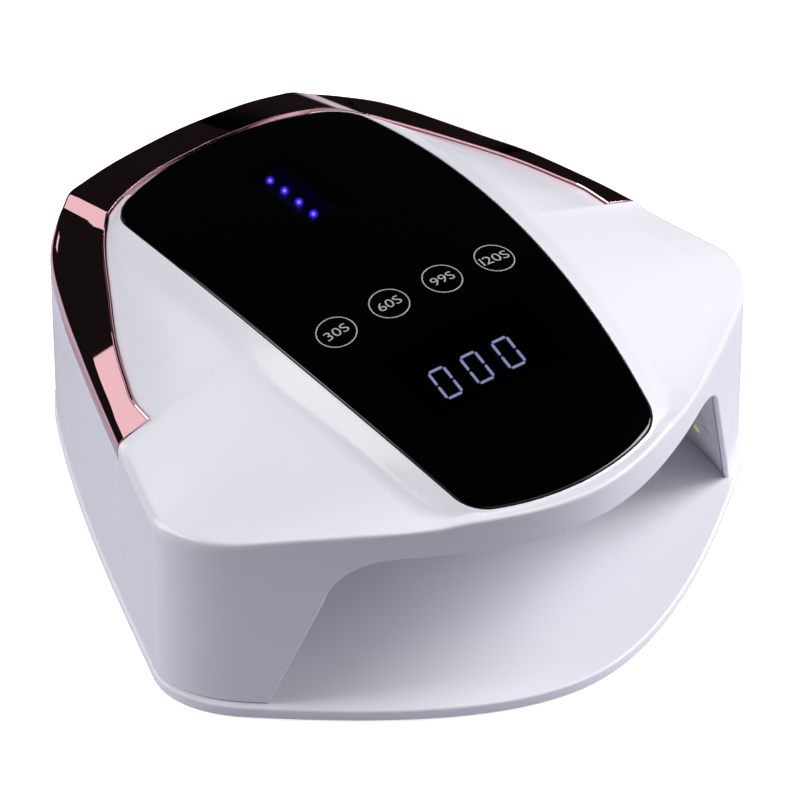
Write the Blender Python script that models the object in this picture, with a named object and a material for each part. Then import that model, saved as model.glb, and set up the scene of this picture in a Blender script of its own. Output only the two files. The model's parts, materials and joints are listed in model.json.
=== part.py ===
"""Cordless UV LED nail lamp: a housing that stands on a loose magnetic tray.

The frame has +X to the right, the hand opening towards -Y, +Z up, and its
origin on the table under the middle of the lamp.  Lengths are in millimetres
and become metres where a mesh is made.
"""
import math

import bmesh
import bpy
import numpy as np
from mathutils import Matrix

MM = 0.001
GAP = 0.3                    # clearance between pieces that touch

# Tray, seen from above: half outline from the nose to the middle of the back.
# Each knot is x, y, heading in degrees, handle length before and after it.
TRAY_KNOTS = [
    (0.0, -116.8, 0.0, 0.0, 33.3),        # nose
    (99.2, -64.6, 39.7, 36.0, 12.1),      # end of the bowed front
    (113.0, -32.9, 106.5, 12.5, 42.1),    # end of the front corner
    (75.8, 76.2, 113.5, 41.0, 17.1),      # start of the rear flank
    (50.2, 111.0, 141.0, 17.5, 3.4),      # start of the rear corner
    (42.5, 115.6, 176.5, 3.4, 14.0),      # end of the rear corner
    (0.0, 116.8, 180.0, 14.0, 0.0),       # middle of the back
]
KNOT_STEPS = [12, 6, 9, 5, 3, 4]          # loft columns between two knots

FOOT_HEIGHT = 0.8            # the rubber feet lift the tray by this much
TRAY_TOP = 5.4
HOUSING_FOOT = 5.7
SIDE_INSET = 0.5             # housing wall inside the tray edge, at the sides
FRONT_INSET = 2.25           # and at the front, where the tray is a lip
WALL = 2.8
FRONT_WALL = 4.8             # the front wall is deep round the hand opening
SHOULDER_INSIDE = 5.0        # wall and trim seat together, just under the shoulder
SHOULDER_RADIUS = 3.0

# Height of the sharp corner between wall and roof, against a point near it.
SHOULDER_HEIGHTS = [
    ((0, -116.8), 83.6), ((24, -112), 83.6), ((38, -106), 82.9), ((43, -104), 82.2),
    ((51, -100), 80.6), ((68, -88), 78.8), ((87, -74), 76.0), ((105, -58), 72.6),
    ((113, -42), 71.6), ((108, -14), 71.6), ((104, -3), 72.4), ((103.4, 0), 73.4),
    ((97, 21), 74.0), ((91, 37), 73.9), ((82.5, 60), 71.9), ((68, 95), 70.3),
    ((48.7, 112.3), 69.4), ((45.6, 114.9), 70.0), ((24, 116.3), 73.4), ((0, 116.8), 74.6),
]

# Roof centre: an arc front to back, crowned from side to side.
ROOF_TOP = 99.2
ROOF_TOP_Y = -6.7
ROOF_ARC = 317.0
ROOF_CROWN = 265.0

# Touch panel: four arcs with rounded corners.
PANEL_SIDE = (49.9, 25.0, 580.0)          # widest half width, at which y, radius
PANEL_FRONT = (-108.0, 79.0)              # y at the middle, radius
PANEL_BACK = (96.3, 103.0)
PANEL_CORNERS = (6.5, 9.0)                # how far the front and rear corners are cut
PANEL_THICK = 2.0
LEDGE_WIDTH = 5.0

# Which point of the tray outline a point of the panel outline is lofted to.
LOFT_PAIRS = [
    ((0, -116.8), (0, -108)), ((33, -109), (30, -102.2)), ((45, -103), (37, -98)),
    ((66, -90), (39, -90)), ((99.2, -64.6), (41.5, -76)), ((113, -33), (46.2, -33)),
    ((104, 0), (49.3, 0)), ((90, 40), (49.7, 40)), ((75.8, 76.2), (48.4, 68)),
    ((58, 105), (46.8, 79.5)), ((46.5, 114.3), (43.5, 86.5)), ((0, 116.8), (0, 96.3)),
]

# The chamfer round the panel: its width and fall, against the tray outline.
CHAMFER_WIDTHS = [
    ((0, -116.8), 1.0), ((38, -106), 1.4), ((50, -100), 5.0), ((68, -88), 8.2),
    ((91, 37), 8.2), ((76, 76), 6.0), ((60, 104), 2.5), ((46, 114.5), 1.6), ((0, 116.8), 0.2),
]
CHAMFER_FALL = 0.65

# Inner edge of the metal trim, with the tray outline point it is lofted to.
TRIM_EDGE = [
    ((103.4, 0), (90.5, -1.0, 78.5)), ((101.2, 8), (89.7, 8.1, 77.9)),
    ((97, 21), (85.5, 20.2, 78.0)), ((91, 37), (78.9, 35.4, 78.4)),
    ((82.5, 60), (68.0, 55.4, 78.6)), ((75, 79), (57.8, 73.4, 78.4)),
    ((62, 101), (53.1, 80.6, 78.7)), ((48.7, 112.3), (50.2, 84.2, 78.9)),
    ((45.6, 114.9), (46.5, 88.9, 79.2)), ((34, 116), (34.0, 93.6, 81.2)),
    ((20, 116.5), (20.0, 95.9, 82.2)), ((0, 116.8), (0, 97.0, 82.4)),
]
FACET_SPLIT = 0.28           # the same line carried on along the roof facet
TRIM_START_Y = 0.0
TRIM_THICK = 1.8
TRIM_SKIRT = 6.8
TRIM_PROUD = 0.6
TRIM_SEAT = TRIM_THICK + 0.6   # how far the housing steps back under the trim

# Hand opening and reflector: half arch as x, z.
ARCH = [(93.6, 0.0), (91.9, 5.4), (76.2, 56.0), (74.4, 61.0), (71.0, 65.3),
        (66.0, 67.6), (58.0, 68.7), (40.0, 69.6), (0.0, 70.6)]
LINER_MARGIN = 0.8
LINER_THICK = 1.3
LINER_BACK_Y = 68.0
LINER_TAPER_Y = 0.0
LINER_BACK_SCALE = 0.685
FLANGE_BOTTOM = 8.0
FLANGE_THICK = 2.0

# Things held inside.
CELL_RADIUS = 9.2
CELL_HEIGHT = 60.0
CELL_X = (-29.4, -9.8, 9.8, 29.4)
CELL_Y = 88.5
MAGNET_RADIUS = 4.0
TOP_LED_X = (-44, -22, 0, 22, 44)
TOP_LED_Y = (-66, -38, -10, 18)
SIDE_LED_Y = (-63.2, -45, -27, -9)
SIDE_LED_Z = (27.0, 35.0)
REAR_LED_X = (-30, 0, 30)
REAR_LED_Z = (28.0, 46.0)
BUTTON_X = (-31.0, -10.4, 10.4, 31.0)
BUTTON_Y = -19.2
INLET_X = -12.0
SWITCH_X = 12.0
SWITCH_Z = 28.0
ROCKER_TILT = 9.0


# ---------------------------------------------------------------- scene set-up
def clear_scene():
    for old in list(bpy.data.objects):
        bpy.data.objects.remove(old, do_unlink=True)


def new_collection(name):
    group = bpy.data.collections.new(name)
    bpy.context.scene.collection.children.link(group)
    return group


clear_scene()
PARTS = new_collection("uv_led_nail_lamp")
CUTTERS = new_collection("cutters")


def material(name, colour, roughness, metallic=0.0):
    mat = bpy.data.materials.new(name)
    mat.use_nodes = True
    shader = mat.node_tree.nodes["Principled BSDF"]
    shader.inputs["Base Color"].default_value = (*colour, 1.0)
    shader.inputs["Roughness"].default_value = roughness
    shader.inputs["Metallic"].default_value = metallic
    mat.diffuse_color = (*colour, 1.0)
    return mat


WHITE = material("gloss_white_abs", (0.86, 0.86, 0.90), 0.18)
TRAY_WHITE = material("tray_white_abs", (0.78, 0.78, 0.82), 0.3)
LINER_WHITE = material("reflector_white", (0.82, 0.82, 0.84), 0.35)
ROSE = material("rose_gold_plating", (0.86, 0.50, 0.50), 0.08, 1.0)
BLACK = material("black_acrylic", (0.008, 0.008, 0.009), 0.05)
BOARD = material("circuit_board", (0.02, 0.16, 0.07), 0.45)
LED_BOARD = material("led_board_white", (0.75, 0.75, 0.72), 0.5)
STEEL = material("nickel_steel", (0.62, 0.62, 0.63), 0.3, 1.0)
RUBBER = material("grey_rubber", (0.10, 0.10, 0.10), 0.8)
CELL = material("battery_sleeve", (0.05, 0.22, 0.45), 0.4)
DARK = material("dark_plastic", (0.03, 0.03, 0.03), 0.4)
DISPLAY = material("display_face", (0.04, 0.04, 0.05), 0.2)


# ---------------------------------------------------------------- mesh helpers
def object_from(name, bm, mat=None, group=None, smooth_angle=35):
    bmesh.ops.recalc_face_normals(bm, faces=bm.faces)
    mesh = bpy.data.meshes.new(name)
    bm.to_mesh(mesh)
    bm.free()
    mesh.shade_smooth()
    mesh.set_sharp_from_angle(angle=math.radians(smooth_angle))
    piece = bpy.data.objects.new(name, mesh)
    (group or PARTS).objects.link(piece)
    if mat:
        mesh.materials.append(mat)
    return piece


def loft(name, sections, mat=None, group=None, ring=True, capped=False):
    """Skin closed sections; a ring joins the last to the first, else caps end it."""
    bm = bmesh.new()
    rows = []
    for section in sections:
        rows.append([bm.verts.new([c * MM for c in point]) for point in section])
    pairs = list(zip(rows, rows[1:]))
    if ring:
        pairs.append((rows[-1], rows[0]))
    for a, b in pairs:
        for i in range(len(a)):
            j = (i + 1) % len(a)
            bm.faces.new((a[i], a[j], b[j], b[i]))
    if capped:
        bm.faces.new(rows[0])
        bm.faces.new(rows[-1])
    return object_from(name, bm, mat, group)


def box(name, size, centre, mat=None, group=None, turn=(0, 0, 0), bevel=0.0):
    bm = bmesh.new()
    bmesh.ops.create_cube(bm, size=1.0)
    bmesh.ops.scale(bm, vec=[c * MM for c in size], verts=bm.verts)
    if bevel:
        bmesh.ops.bevel(bm, geom=bm.edges[:], offset=bevel * MM, segments=1, affect='EDGES')
    piece = object_from(name, bm, mat, group)
    piece.location = [c * MM for c in centre]
    piece.rotation_euler = [math.radians(a) for a in turn]
    return piece


def cylinder(name, radius, low, high, x, y, mat=None, group=None, sides=20, top_radius=None):
    bm = bmesh.new()
    end = radius if top_radius is None else top_radius
    bmesh.ops.create_cone(bm, cap_ends=True, segments=sides, radius1=radius * MM,
                          radius2=end * MM, depth=(high - low) * MM)
    piece = object_from(name, bm, mat, group)
    piece.location = (x * MM, y * MM, (low + high) / 2 * MM)
    return piece


def cross_cylinder(name, radius, near, far, x, z, mat=None, group=None, sides=20):
    """A cylinder along Y."""
    piece = cylinder(name, radius, 0, far - near, 0, 0, mat, group, sides)
    piece.rotation_euler = (math.radians(90), 0, 0)
    piece.location = (x * MM, (near + far) / 2 * MM, z * MM)
    return piece


def combine(target, other, operation):
    """Apply one exact Boolean and drop the second object."""
    step = target.modifiers.new(operation.lower(), 'BOOLEAN')
    step.operation = operation
    step.solver = 'EXACT'
    step.object = other
    bpy.context.view_layer.update()
    seen = target.evaluated_get(bpy.context.evaluated_depsgraph_get())
    result = bpy.data.meshes.new_from_object(seen)
    target.modifiers.remove(step)
    old = target.data
    target.data = result
    bpy.data.meshes.remove(old)
    bpy.data.objects.remove(other, do_unlink=True)


def cut(target, *cutters):
    for cutter in cutters:
        combine(target, cutter, 'DIFFERENCE')


def join(target, *others):
    for other in others:
        combine(target, other, 'UNION')


# ---------------------------------------------------------------- curves
def bezier(start, end):
    """One outline segment between two knots, as a function of 0 to 1."""
    x0, y0, h0, _, reach0 = start
    x3, y3, h3, reach3, _ = end
    p0 = np.array((x0, y0))
    p3 = np.array((x3, y3))
    p1 = p0 + reach0 * np.array((math.cos(math.radians(h0)), math.sin(math.radians(h0))))
    p2 = p3 - reach3 * np.array((math.cos(math.radians(h3)), math.sin(math.radians(h3))))

    def at(t):
        u = 1 - t
        return u ** 3 * p0 + 3 * u * u * t * p1 + 3 * u * t * t * p2 + t ** 3 * p3
    return at


class Track:
    """A plan curve that can be read by the distance along it."""

    def __init__(self, points):
        self.points = np.array(points, float)
        steps = np.hypot(*np.diff(self.points, axis=0).T)
        self.run = np.concatenate([[0.0], np.cumsum(steps)])
        self.length = self.run[-1]

    def at(self, s):
        return np.array([np.interp(s, self.run, self.points[:, k]) for k in (0, 1)])

    def nearest(self, point):
        gaps = np.hypot(*(self.points - np.array(point, float)).T)
        return self.run[int(np.argmin(gaps))]

    def outward(self, s):
        a = self.at(max(s - 0.5, 0.0))
        b = self.at(min(s + 0.5, self.length))
        along = (b - a) / np.hypot(*(b - a))
        return np.array((along[1], -along[0]))


def smooth_curve(xs, ys):
    """A monotone cubic through (x, y) pairs, which never overshoots."""
    xs = np.array(xs, float)
    ys = np.array(ys, float)
    step = np.diff(xs)
    slope = np.diff(ys) / step
    tangent = np.zeros_like(ys)
    for i in range(1, len(xs) - 1):
        if slope[i - 1] * slope[i] > 0:
            w1 = 2 * step[i] + step[i - 1]
            w2 = step[i] + 2 * step[i - 1]
            tangent[i] = (w1 + w2) / (w1 / slope[i - 1] + w2 / slope[i])

    def at(x):
        i = int(np.clip(np.searchsorted(xs, x) - 1, 0, len(step) - 1))
        h = step[i]
        t = min(max((x - xs[i]) / h, 0.0), 1.0)
        return ((1 + 2 * t) * (1 - t) ** 2 * ys[i] + t * (1 - t) ** 2 * h * tangent[i]
                + t * t * (3 - 2 * t) * ys[i + 1] - t * t * (1 - t) * h * tangent[i + 1])
    return at


def ramp(value, low, high):
    t = min(max((value - low) / (high - low), 0.0), 1.0)
    return t * t * (3 - 2 * t)


def tray_track():
    points = []
    for start, end in zip(TRAY_KNOTS, TRAY_KNOTS[1:]):
        segment = bezier(start, end)
        points += [segment(t) for t in np.linspace(0, 1, 120, endpoint=False)]
    points.append(np.array(TRAY_KNOTS[-1][:2]))
    return Track(points)


TRAY = tray_track()


def knot_columns():
    """Distances along the tray outline of the loft's columns."""
    marks = [TRAY.nearest(knot[:2]) for knot in TRAY_KNOTS]
    columns = []
    for low, high, steps in zip(marks, marks[1:], KNOT_STEPS):
        columns += list(np.linspace(low, high, steps, endpoint=False))
    return columns + [TRAY.length]


def arc_point(centre, radius, angle):
    return np.array((centre[0] + radius * math.cos(angle), centre[1] + radius * math.sin(angle)))


def panel_track():
    """Half of the panel outline: front arc, corner, side arc, corner, back arc."""
    half, side_y, side_r = PANEL_SIDE
    side_centre = (half - side_r, side_y)
    front_y, front_r = PANEL_FRONT
    back_y, back_r = PANEL_BACK

    def side(y):
        return np.array((side_centre[0] + math.sqrt(side_r ** 2 - (y - side_y) ** 2), y))

    def front(x):
        return np.array((x, front_y + front_r - math.sqrt(front_r ** 2 - x * x)))

    def back(x):
        return np.array((x, back_y - back_r + math.sqrt(back_r ** 2 - x * x)))

    front_x = min(np.linspace(30, 45, 301), key=lambda x: abs(side(front(x)[1])[0] - x))
    back_x = min(np.linspace(38, 52, 281), key=lambda x: abs(side(back(x)[1])[0] - x))
    cut_front, cut_back = PANEL_CORNERS
    points = [front(x) for x in np.linspace(0, front_x - cut_front, 60)]
    points += rounded(points[-1], front(front_x), side(front(front_x)[1] + cut_front))
    points += [side(y) for y in np.linspace(points[-1][1], back(back_x)[1] - cut_back, 120)[1:]]
    points += rounded(points[-1], back(back_x), back(back_x - cut_back))
    points += [back(x) for x in np.linspace(points[-1][0], 0, 60)[1:]]
    return Track(points)


def rounded(a, corner, b, steps=16):
    """Points after a, up to b, on a curve that rounds the corner between them."""
    out = []
    for t in np.linspace(0, 1, steps)[1:]:
        u = 1 - t
        out.append(u ** 3 * a + 3 * u * u * t * (a + 0.6 * (corner - a))
                   + 3 * u * t * t * (b + 0.6 * (corner - b)) + t ** 3 * b)
    return out


PANEL = panel_track()


def roof_height(x, y):
    lengthwise = ROOF_ARC - math.sqrt(ROOF_ARC ** 2 - (y - ROOF_TOP_Y) ** 2)
    across = ROOF_CROWN - math.sqrt(ROOF_CROWN ** 2 - x * x)
    return ROOF_TOP - lengthwise - across


def against_tray(table):
    """Turn (point near the outline, value) pairs into a curve of the distance."""
    return smooth_curve([TRAY.nearest(p) for p, _ in table], [v for _, v in table])


shoulder_height = against_tray(SHOULDER_HEIGHTS)
chamfer_width = against_tray(CHAMFER_WIDTHS)
panel_distance = smooth_curve([TRAY.nearest(a) for a, _ in LOFT_PAIRS],
                              [PANEL.nearest(b) for _, b in LOFT_PAIRS])
trim_edge = [smooth_curve([TRAY.nearest(a) for a, _ in TRIM_EDGE],
                          [p[k] for _, p in TRIM_EDGE]) for k in range(3)]
TRIM_START = TRAY.nearest((103.4, TRIM_START_Y))
REAR_START = TRAY.nearest((46.5, 114.2))


def housing_inset(s):
    y = TRAY.at(s)[1]
    return FRONT_INSET + (SIDE_INSET - FRONT_INSET) * ramp(y, -62, -28)


def wall_thickness(s):
    y = TRAY.at(s)[1]
    return FRONT_WALL + (WALL - FRONT_WALL) * ramp(y, -82, -69)


def station(s):
    """The key points of one loft column, at distance s along the outline."""
    here = TRAY.at(s)
    out = TRAY.outward(s)
    if s <= 0 or s >= TRAY.length:
        out = np.array((0.0, -1.0 if s <= 0 else 1.0))
    corner = here - out * housing_inset(s)
    edge = np.array([curve(s) for curve in trim_edge])
    panel_run = panel_distance(s)
    if s > REAR_START:
        panel_run = PANEL.nearest(edge[:2])
    panel = PANEL.at(panel_run)
    towards = corner - panel
    span = np.hypot(*towards)
    towards = towards / span
    panel_z = roof_height(*panel)
    width = chamfer_width(s)
    crease = np.array((*(panel + towards * width), panel_z - CHAMFER_FALL * width))
    top = np.array((*corner, shoulder_height(s)))
    trimmed = s >= TRIM_START - 2 * GAP
    if trimmed and s < TRIM_START:
        edge[1] -= 1.5 * GAP
    elif not trimmed:
        reach = np.hypot(*(crease[:2] - corner))
        edge = top + (crease - top) * max(FACET_SPLIT, 4.0 / reach)
    return {"corner": top, "out": out, "panel": np.array((*panel, panel_z)),
            "crease": crease, "edge": edge, "trimmed": trimmed, "s": s, "run": panel_run}


def unit(v):
    return v / math.sqrt(float(v @ v))


def shoulder(st, sink, radius, steps):
    """Rounded corner between wall and roof, pushed in by sink from the true face."""
    out = np.array((*st["out"], 0.0))
    inward = unit(st["edge"] - st["corner"])
    up = np.array((0.0, 0.0, 1.0))
    normal = unit(np.cross(np.cross(inward, up), inward))
    corner = st["corner"] - out * sink - normal * sink
    points = []
    for t in np.linspace(0, 1, steps):
        u = 1 - t
        a = corner - up * radius
        b = corner + inward * radius
        points.append(u * u * a + 2 * u * t * corner + t * t * b)
    return points


# ---------------------------------------------------------------- outer shell
def shell_section(st):
    out = np.array((*st["out"], 0.0))
    down = np.array((0.0, 0.0, -1.0))
    s = st["s"]
    foot = np.array((*st["corner"][:2], HOUSING_FOOT))
    skirt = st["corner"] + down * (TRIM_SKIRT + 0.4)
    sink = TRIM_SEAT if st["trimmed"] else 0.0
    inward = unit(np.array((*(st["panel"] - st["edge"])[:2], 0.0)))
    to_panel = unit(np.array((*(st["panel"] - st["corner"])[:2], 0.0)))
    ledge_z = down * (PANEL_THICK + GAP)
    ledge = st["panel"] + ledge_z
    gap = float(np.hypot(*(st["edge"] - st["panel"])[:2]))
    section = [foot, skirt, skirt - out * sink - down * 0.3]
    section += shoulder(st, sink, SHOULDER_RADIUS, 3)
    if st["trimmed"]:
        rim = st["edge"] + down * (sink + 0.6)
        if gap < 3.2:
            # the trim meets the panel, so one shared ledge runs under both
            section += [rim - inward * 0.6, ledge - inward * 0.9, ledge - inward * 0.6,
                        ledge - inward * 0.3, ledge]
        else:
            section += [rim + inward * GAP, st["edge"] + inward * (GAP + 0.3) + down * TRIM_PROUD,
                        blend_crease(st, inward), st["panel"] - to_panel * GAP, ledge - to_panel * GAP]
    else:
        section += [st["edge"], st["edge"] + inward * 0.5 + roof_step(st, 0.5),
                    st["crease"], st["panel"] - to_panel * GAP, ledge - to_panel * GAP]
    inner_lip = PANEL.outward(st["run"])
    if s <= 0 or s >= TRAY.length:
        inner_lip = np.array((0.0, -1.0 if s <= 0 else 1.0))
    tip = st["panel"][:2] - inner_lip * LEDGE_WIDTH
    tip_z = roof_height(*tip) - PANEL_THICK - GAP
    wall = wall_thickness(s)
    section += [np.array((*tip, tip_z)), np.array((*tip, tip_z - WALL)),
                ledge + down * (WALL + 0.5) - inward * 0.3]
    roof_in = shoulder(st, TRIM_SEAT + 2.4, 2.0, 2)
    mid = st["edge"] + down * (TRIM_SEAT + 3.2) - inward * 0.4
    section += [mid, roof_in[1] - out * (wall - WALL)]
    inner_foot = foot - out * wall
    section += [np.array((*(foot - out * max(wall, SHOULDER_INSIDE))[:2], roof_in[0][2] - 4.0)),
                inner_foot + down * -9.0, inner_foot]
    return section


def roof_step(st, reach):
    """Rise of the facet over a short step inward from the split line."""
    run = st["crease"] - st["edge"]
    flat = max(float(np.hypot(*run[:2])), 0.1)
    return np.array((0.0, 0.0, run[2] / flat * reach))


def blend_crease(st, inward):
    """The crease, or the middle of the sliver left where the trim comes near."""
    crease = st["crease"]
    room = float(np.hypot(*(st["edge"] - st["panel"])[:2]))
    reach = float(np.hypot(*(crease - st["panel"])[:2]))
    if reach < room - 2.0:
        return crease
    near = st["edge"] + inward * (GAP + 0.9)
    share = 0.35
    point = near * (1 - share) + st["panel"] * share
    point[2] = near[2] * (1 - share) + st["panel"][2] * share
    return point


def columns_all():
    return sorted(knot_columns() + [TRIM_START, TRIM_START - 1.5 * GAP, TRIM_START - 2.5 * GAP])


def mirrored(section):
    return [np.array((-p[0], p[1], p[2])) for p in section]


def full_ring(make, columns):
    right = [make(station(s)) for s in columns]
    for section in (right[0], right[-1]):
        for point in section:
            point[0] = 0.0
    return right + [mirrored(section) for section in right[-2:0:-1]]


def make_shell():
    shell = loft("outer_shell", full_ring(shell_section, columns_all()), WHITE)
    cut(shell, arch_solid("opening_cutter", 0.0, -140, -10, False))
    for index, (x, y) in enumerate(boss_places()):
        boss = cylinder(f"boss_{index}", 3.6, FLANGE_BOTTOM + FLANGE_THICK + GAP, 34, x, y, sides=16)
        join(shell, boss)
        cut(shell, cylinder(f"boss_hole_{index}", 1.8, 2, 26, x, y, sides=12))
    cut(shell, cross_cylinder("inlet_hole", 4.3, 105, 125, INLET_X, SWITCH_Z))
    cut(shell, box("switch_hole", (11.1, 20, 17.1), (SWITCH_X, 115, SWITCH_Z)))
    return shell


def boss_places():
    """Screw bosses, close inside the wall on both sides."""
    places = []
    for near in ((109, -18), (88.5, 44), (26, 116)):
        s = TRAY.nearest(near)
        x, y = TRAY.at(s) - TRAY.outward(s) * (SIDE_INSET + WALL + 3.2)
        places += [(x, y), (-x, y)]
    return places


# ---------------------------------------------------------------- metal trim
def trim_section(st):
    out = np.array((*st["out"], 0.0))
    down = np.array((0.0, 0.0, -1.0))
    inward = unit(np.array((*(st["panel"] - st["edge"])[:2], 0.0)))
    skirt = st["corner"] + down * TRIM_SKIRT
    outer = [skirt] + shoulder(st, 0.0, 2.0, 3)
    lip = st["edge"] - inward * 1.6
    lip[2] += float(st["corner"][2] - st["edge"][2]) * 0.08
    outer += [lip, st["edge"] + down * 0.7]
    inner = shoulder(st, TRIM_THICK, 1.2, 2)
    return outer + [st["edge"] + down * TRIM_THICK, inner[1], inner[0], skirt - out * TRIM_THICK]


def make_trim():
    half = [s for s in columns_all() if s >= TRIM_START]
    right = [trim_section(station(s)) for s in half]
    for point in right[-1]:
        point[0] = 0.0
    sections = right + [mirrored(section) for section in right[-2::-1]]
    return loft("rose_gold_trim", sections, ROSE, ring=False, capped=True)


# ---------------------------------------------------------------- touch panel
def make_panel():
    outline = []
    for s in knot_columns():
        d = station(s)["run"]
        out = PANEL.outward(d)
        point = PANEL.at(d) - out * 0.05
        outline.append(point)
    outline[0][0] = 0.0
    outline[-1][0] = 0.0
    ring = outline + [np.array((-p[0], p[1])) for p in outline[-2:0:-1]]
    middle = np.array((0.0, (PANEL_FRONT[0] + PANEL_BACK[0]) / 2))
    bm = bmesh.new()
    layers = []
    for sign in (0, 1):
        rows = []
        for scale in (1.0, 0.985, 0.72, 0.36):
            row = []
            for p in ring:
                x, y = middle + (p - middle) * scale
                z = roof_height(x, y) - sign * PANEL_THICK
                if scale == 1.0:
                    z += 0.5 * sign - 0.5 * (1 - sign)
                row.append(bm.verts.new((x * MM, y * MM, z * MM)))
            rows.append(row)
        tip = roof_height(*middle) - sign * PANEL_THICK
        rows.append([bm.verts.new((0.0, middle[1] * MM, tip * MM))])
        layers.append(rows)
    count = len(ring)
    for rows in layers:
        for a, b in zip(rows, rows[1:]):
            for i in range(count):
                j = (i + 1) % count
                if len(b) == 1:
                    bm.faces.new((a[i], a[j], b[0]))
                else:
                    bm.faces.new((a[i], a[j], b[j], b[i]))
    for i in range(count):
        j = (i + 1) % count
        bm.faces.new((layers[0][0][i], layers[0][0][j], layers[1][0][j], layers[1][0][i]))
    return object_from("touch_panel", bm, BLACK, smooth_angle=50)


# ---------------------------------------------------------------- tray
def outline_ring(inset, z, columns=None):
    """The whole tray outline, moved inward, as a section at one height."""
    inset_at = inset if callable(inset) else (lambda s: inset)
    right = []
    for s in columns or knot_columns():
        out = TRAY.outward(s)
        if s <= 0 or s >= TRAY.length:
            out = np.array((0.0, -1.0 if s <= 0 else 1.0))
        p = TRAY.at(s) - out * inset_at(s)
        right.append(np.array((p[0], p[1], z)))
    right[0][0] = 0.0
    right[-1][0] = 0.0
    return right + [np.array((-p[0], p[1], z)) for p in right[-2:0:-1]]


def plan_solid(name, rings, mat=None, group=None):
    return loft(name, rings, mat, group, ring=False, capped=True)


def foot_places():
    return [(84, -52), (-84, -52), (50, 88), (-50, 88)]


def magnet_places():
    return [(101.5, -40), (-101.5, -40), (18, 104.5), (-18, 104.5)]


def make_tray():
    tray = plan_solid("base_tray", [
        outline_ring(1.0, FOOT_HEIGHT), outline_ring(0.0, FOOT_HEIGHT + 0.8),
        outline_ring(0.0, TRAY_TOP - 1.5), outline_ring(0.5, TRAY_TOP - 0.4),
        outline_ring(1.7, TRAY_TOP)], TRAY_WHITE)
    for index, (x, y) in enumerate(foot_places()):
        cut(tray, cylinder(f"foot_pocket_{index}", 6.3, -1, FOOT_HEIGHT + 1.1, x, y))
    for index, (x, y) in enumerate(magnet_places()):
        cut(tray, cylinder(f"magnet_pocket_{index}", MAGNET_RADIUS + GAP, 2.8, 8, x, y))
    names = ("front_right", "front_left", "rear_right", "rear_left")
    for name, (x, y) in zip(names, foot_places()):
        cylinder(f"foot_{name}", 6.0, 0.0, FOOT_HEIGHT + 0.8, x, y, RUBBER)
    for name, (x, y) in zip(names, magnet_places()):
        cylinder(f"tray_magnet_{name}", MAGNET_RADIUS, 3.1, TRAY_TOP - 0.2, x, y, STEEL)
        cylinder(f"catch_disc_{name}", MAGNET_RADIUS, 6.0, FLANGE_BOTTOM - GAP, x, y, STEEL)


# ---------------------------------------------------------------- reflector
def arch_section(margin, scale, y):
    """Closed arch outline; margin moves it outward, scale narrows it."""
    half = np.array(ARCH, float)
    step = np.gradient(half, axis=0)
    normal = np.stack([step[:, 1], -step[:, 0]], 1)
    normal /= np.hypot(*normal.T)[:, None]
    grown = half + normal * margin
    grown[-1] = (0.0, half[-1][1] + margin)
    right = [(x * scale, z) for x, z in grown]
    left = [(-x, z) for x, z in right[-2::-1]]
    return [np.array((x, y, z)) for x, z in right + left]


def arch_solid(name, margin, front, back, tapered=True):
    sections = [arch_section(margin, 1.0, front)]
    if tapered:
        sections.append(arch_section(margin, 1.0, LINER_TAPER_Y))
        sections.append(arch_section(margin, LINER_BACK_SCALE, back))
    else:
        sections.append(arch_section(margin, 1.0, back))
    return loft(name, sections, None, CUTTERS, ring=False, capped=True)


def side_board_frame(side):
    """Centre, tilt and outward normal of the LED board behind a side wall."""
    (x0, z0), (x1, z1) = ARCH[1], ARCH[2]
    lean = math.atan2(x0 - x1, z1 - z0)
    z = sum(SIDE_LED_Z) / 2
    wall_x = x0 + (z - z0) * (x1 - x0) / (z1 - z0)
    face = wall_x + (LINER_MARGIN + LINER_THICK + 0.4) / math.cos(lean)
    return side * face, z, side * lean


def make_liner():
    outer = LINER_MARGIN + LINER_THICK
    liner = arch_solid("reflector_liner", outer, -130, LINER_BACK_Y + LINER_THICK)
    PARTS.objects.link(liner)
    CUTTERS.objects.unlink(liner)
    liner.data.materials.append(LINER_WHITE)
    limit = full_inset(lambda s: housing_inset(s) + max(wall_thickness(s), SHOULDER_INSIDE) + GAP)
    flange = plan_solid("flange", [limit(FLANGE_BOTTOM), limit(FLANGE_BOTTOM + FLANGE_THICK)])
    join(liner, flange)
    for index, (x, y, top) in enumerate(post_places()):
        join(liner, cylinder(f"post_{index}", 3.2, 71.5, top, x, y, sides=14))
        cut(liner, cylinder(f"post_hole_{index}", 1.3, top - 7, top + 1, x, y, sides=10))
    inner = arch_solid("reflector_inside", LINER_MARGIN, -140, LINER_BACK_Y)
    cut(liner, inner)
    high = full_inset(lambda s: housing_inset(s) + wall_thickness(s) + SHOULDER_INSIDE)
    bounds = [limit(TRAY_TOP + 0.5), limit(60), high(65), high(90)]
    combine(liner, plan_solid("liner_limit", bounds), 'INTERSECT')
    for index, (x, y) in enumerate(boss_places()):
        cut(liner, cylinder(f"flange_hole_{index}", 1.9, 6, 12, x, y, sides=12))
    for y in TOP_LED_Y:
        for x in TOP_LED_X:
            cut(liner, cylinder("led_window", 3.1, 66, 80, x, y, sides=8))
    for x in REAR_LED_X:
        for z in REAR_LED_Z:
            cut(liner, cross_cylinder("led_window", 3.1, 60, 75, x, z, sides=8))
    for side in (1, -1):
        x, z, lean = side_board_frame(side)
        for y in SIDE_LED_Y:
            for dz in SIDE_LED_Z:
                along = (dz - z) / math.cos(lean)
                cut(liner, box("led_window", (12, 4.2, 4.2),
                               (x - math.sin(lean) * along, y, dz), turn=(0, -math.degrees(lean), 0)))
    cut(liner, cylinder("sensor_window", 2.9, 66, 80, 0, -86, sides=12))
    return liner


def full_inset(inset):
    return lambda z: outline_ring(inset, z)


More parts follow.
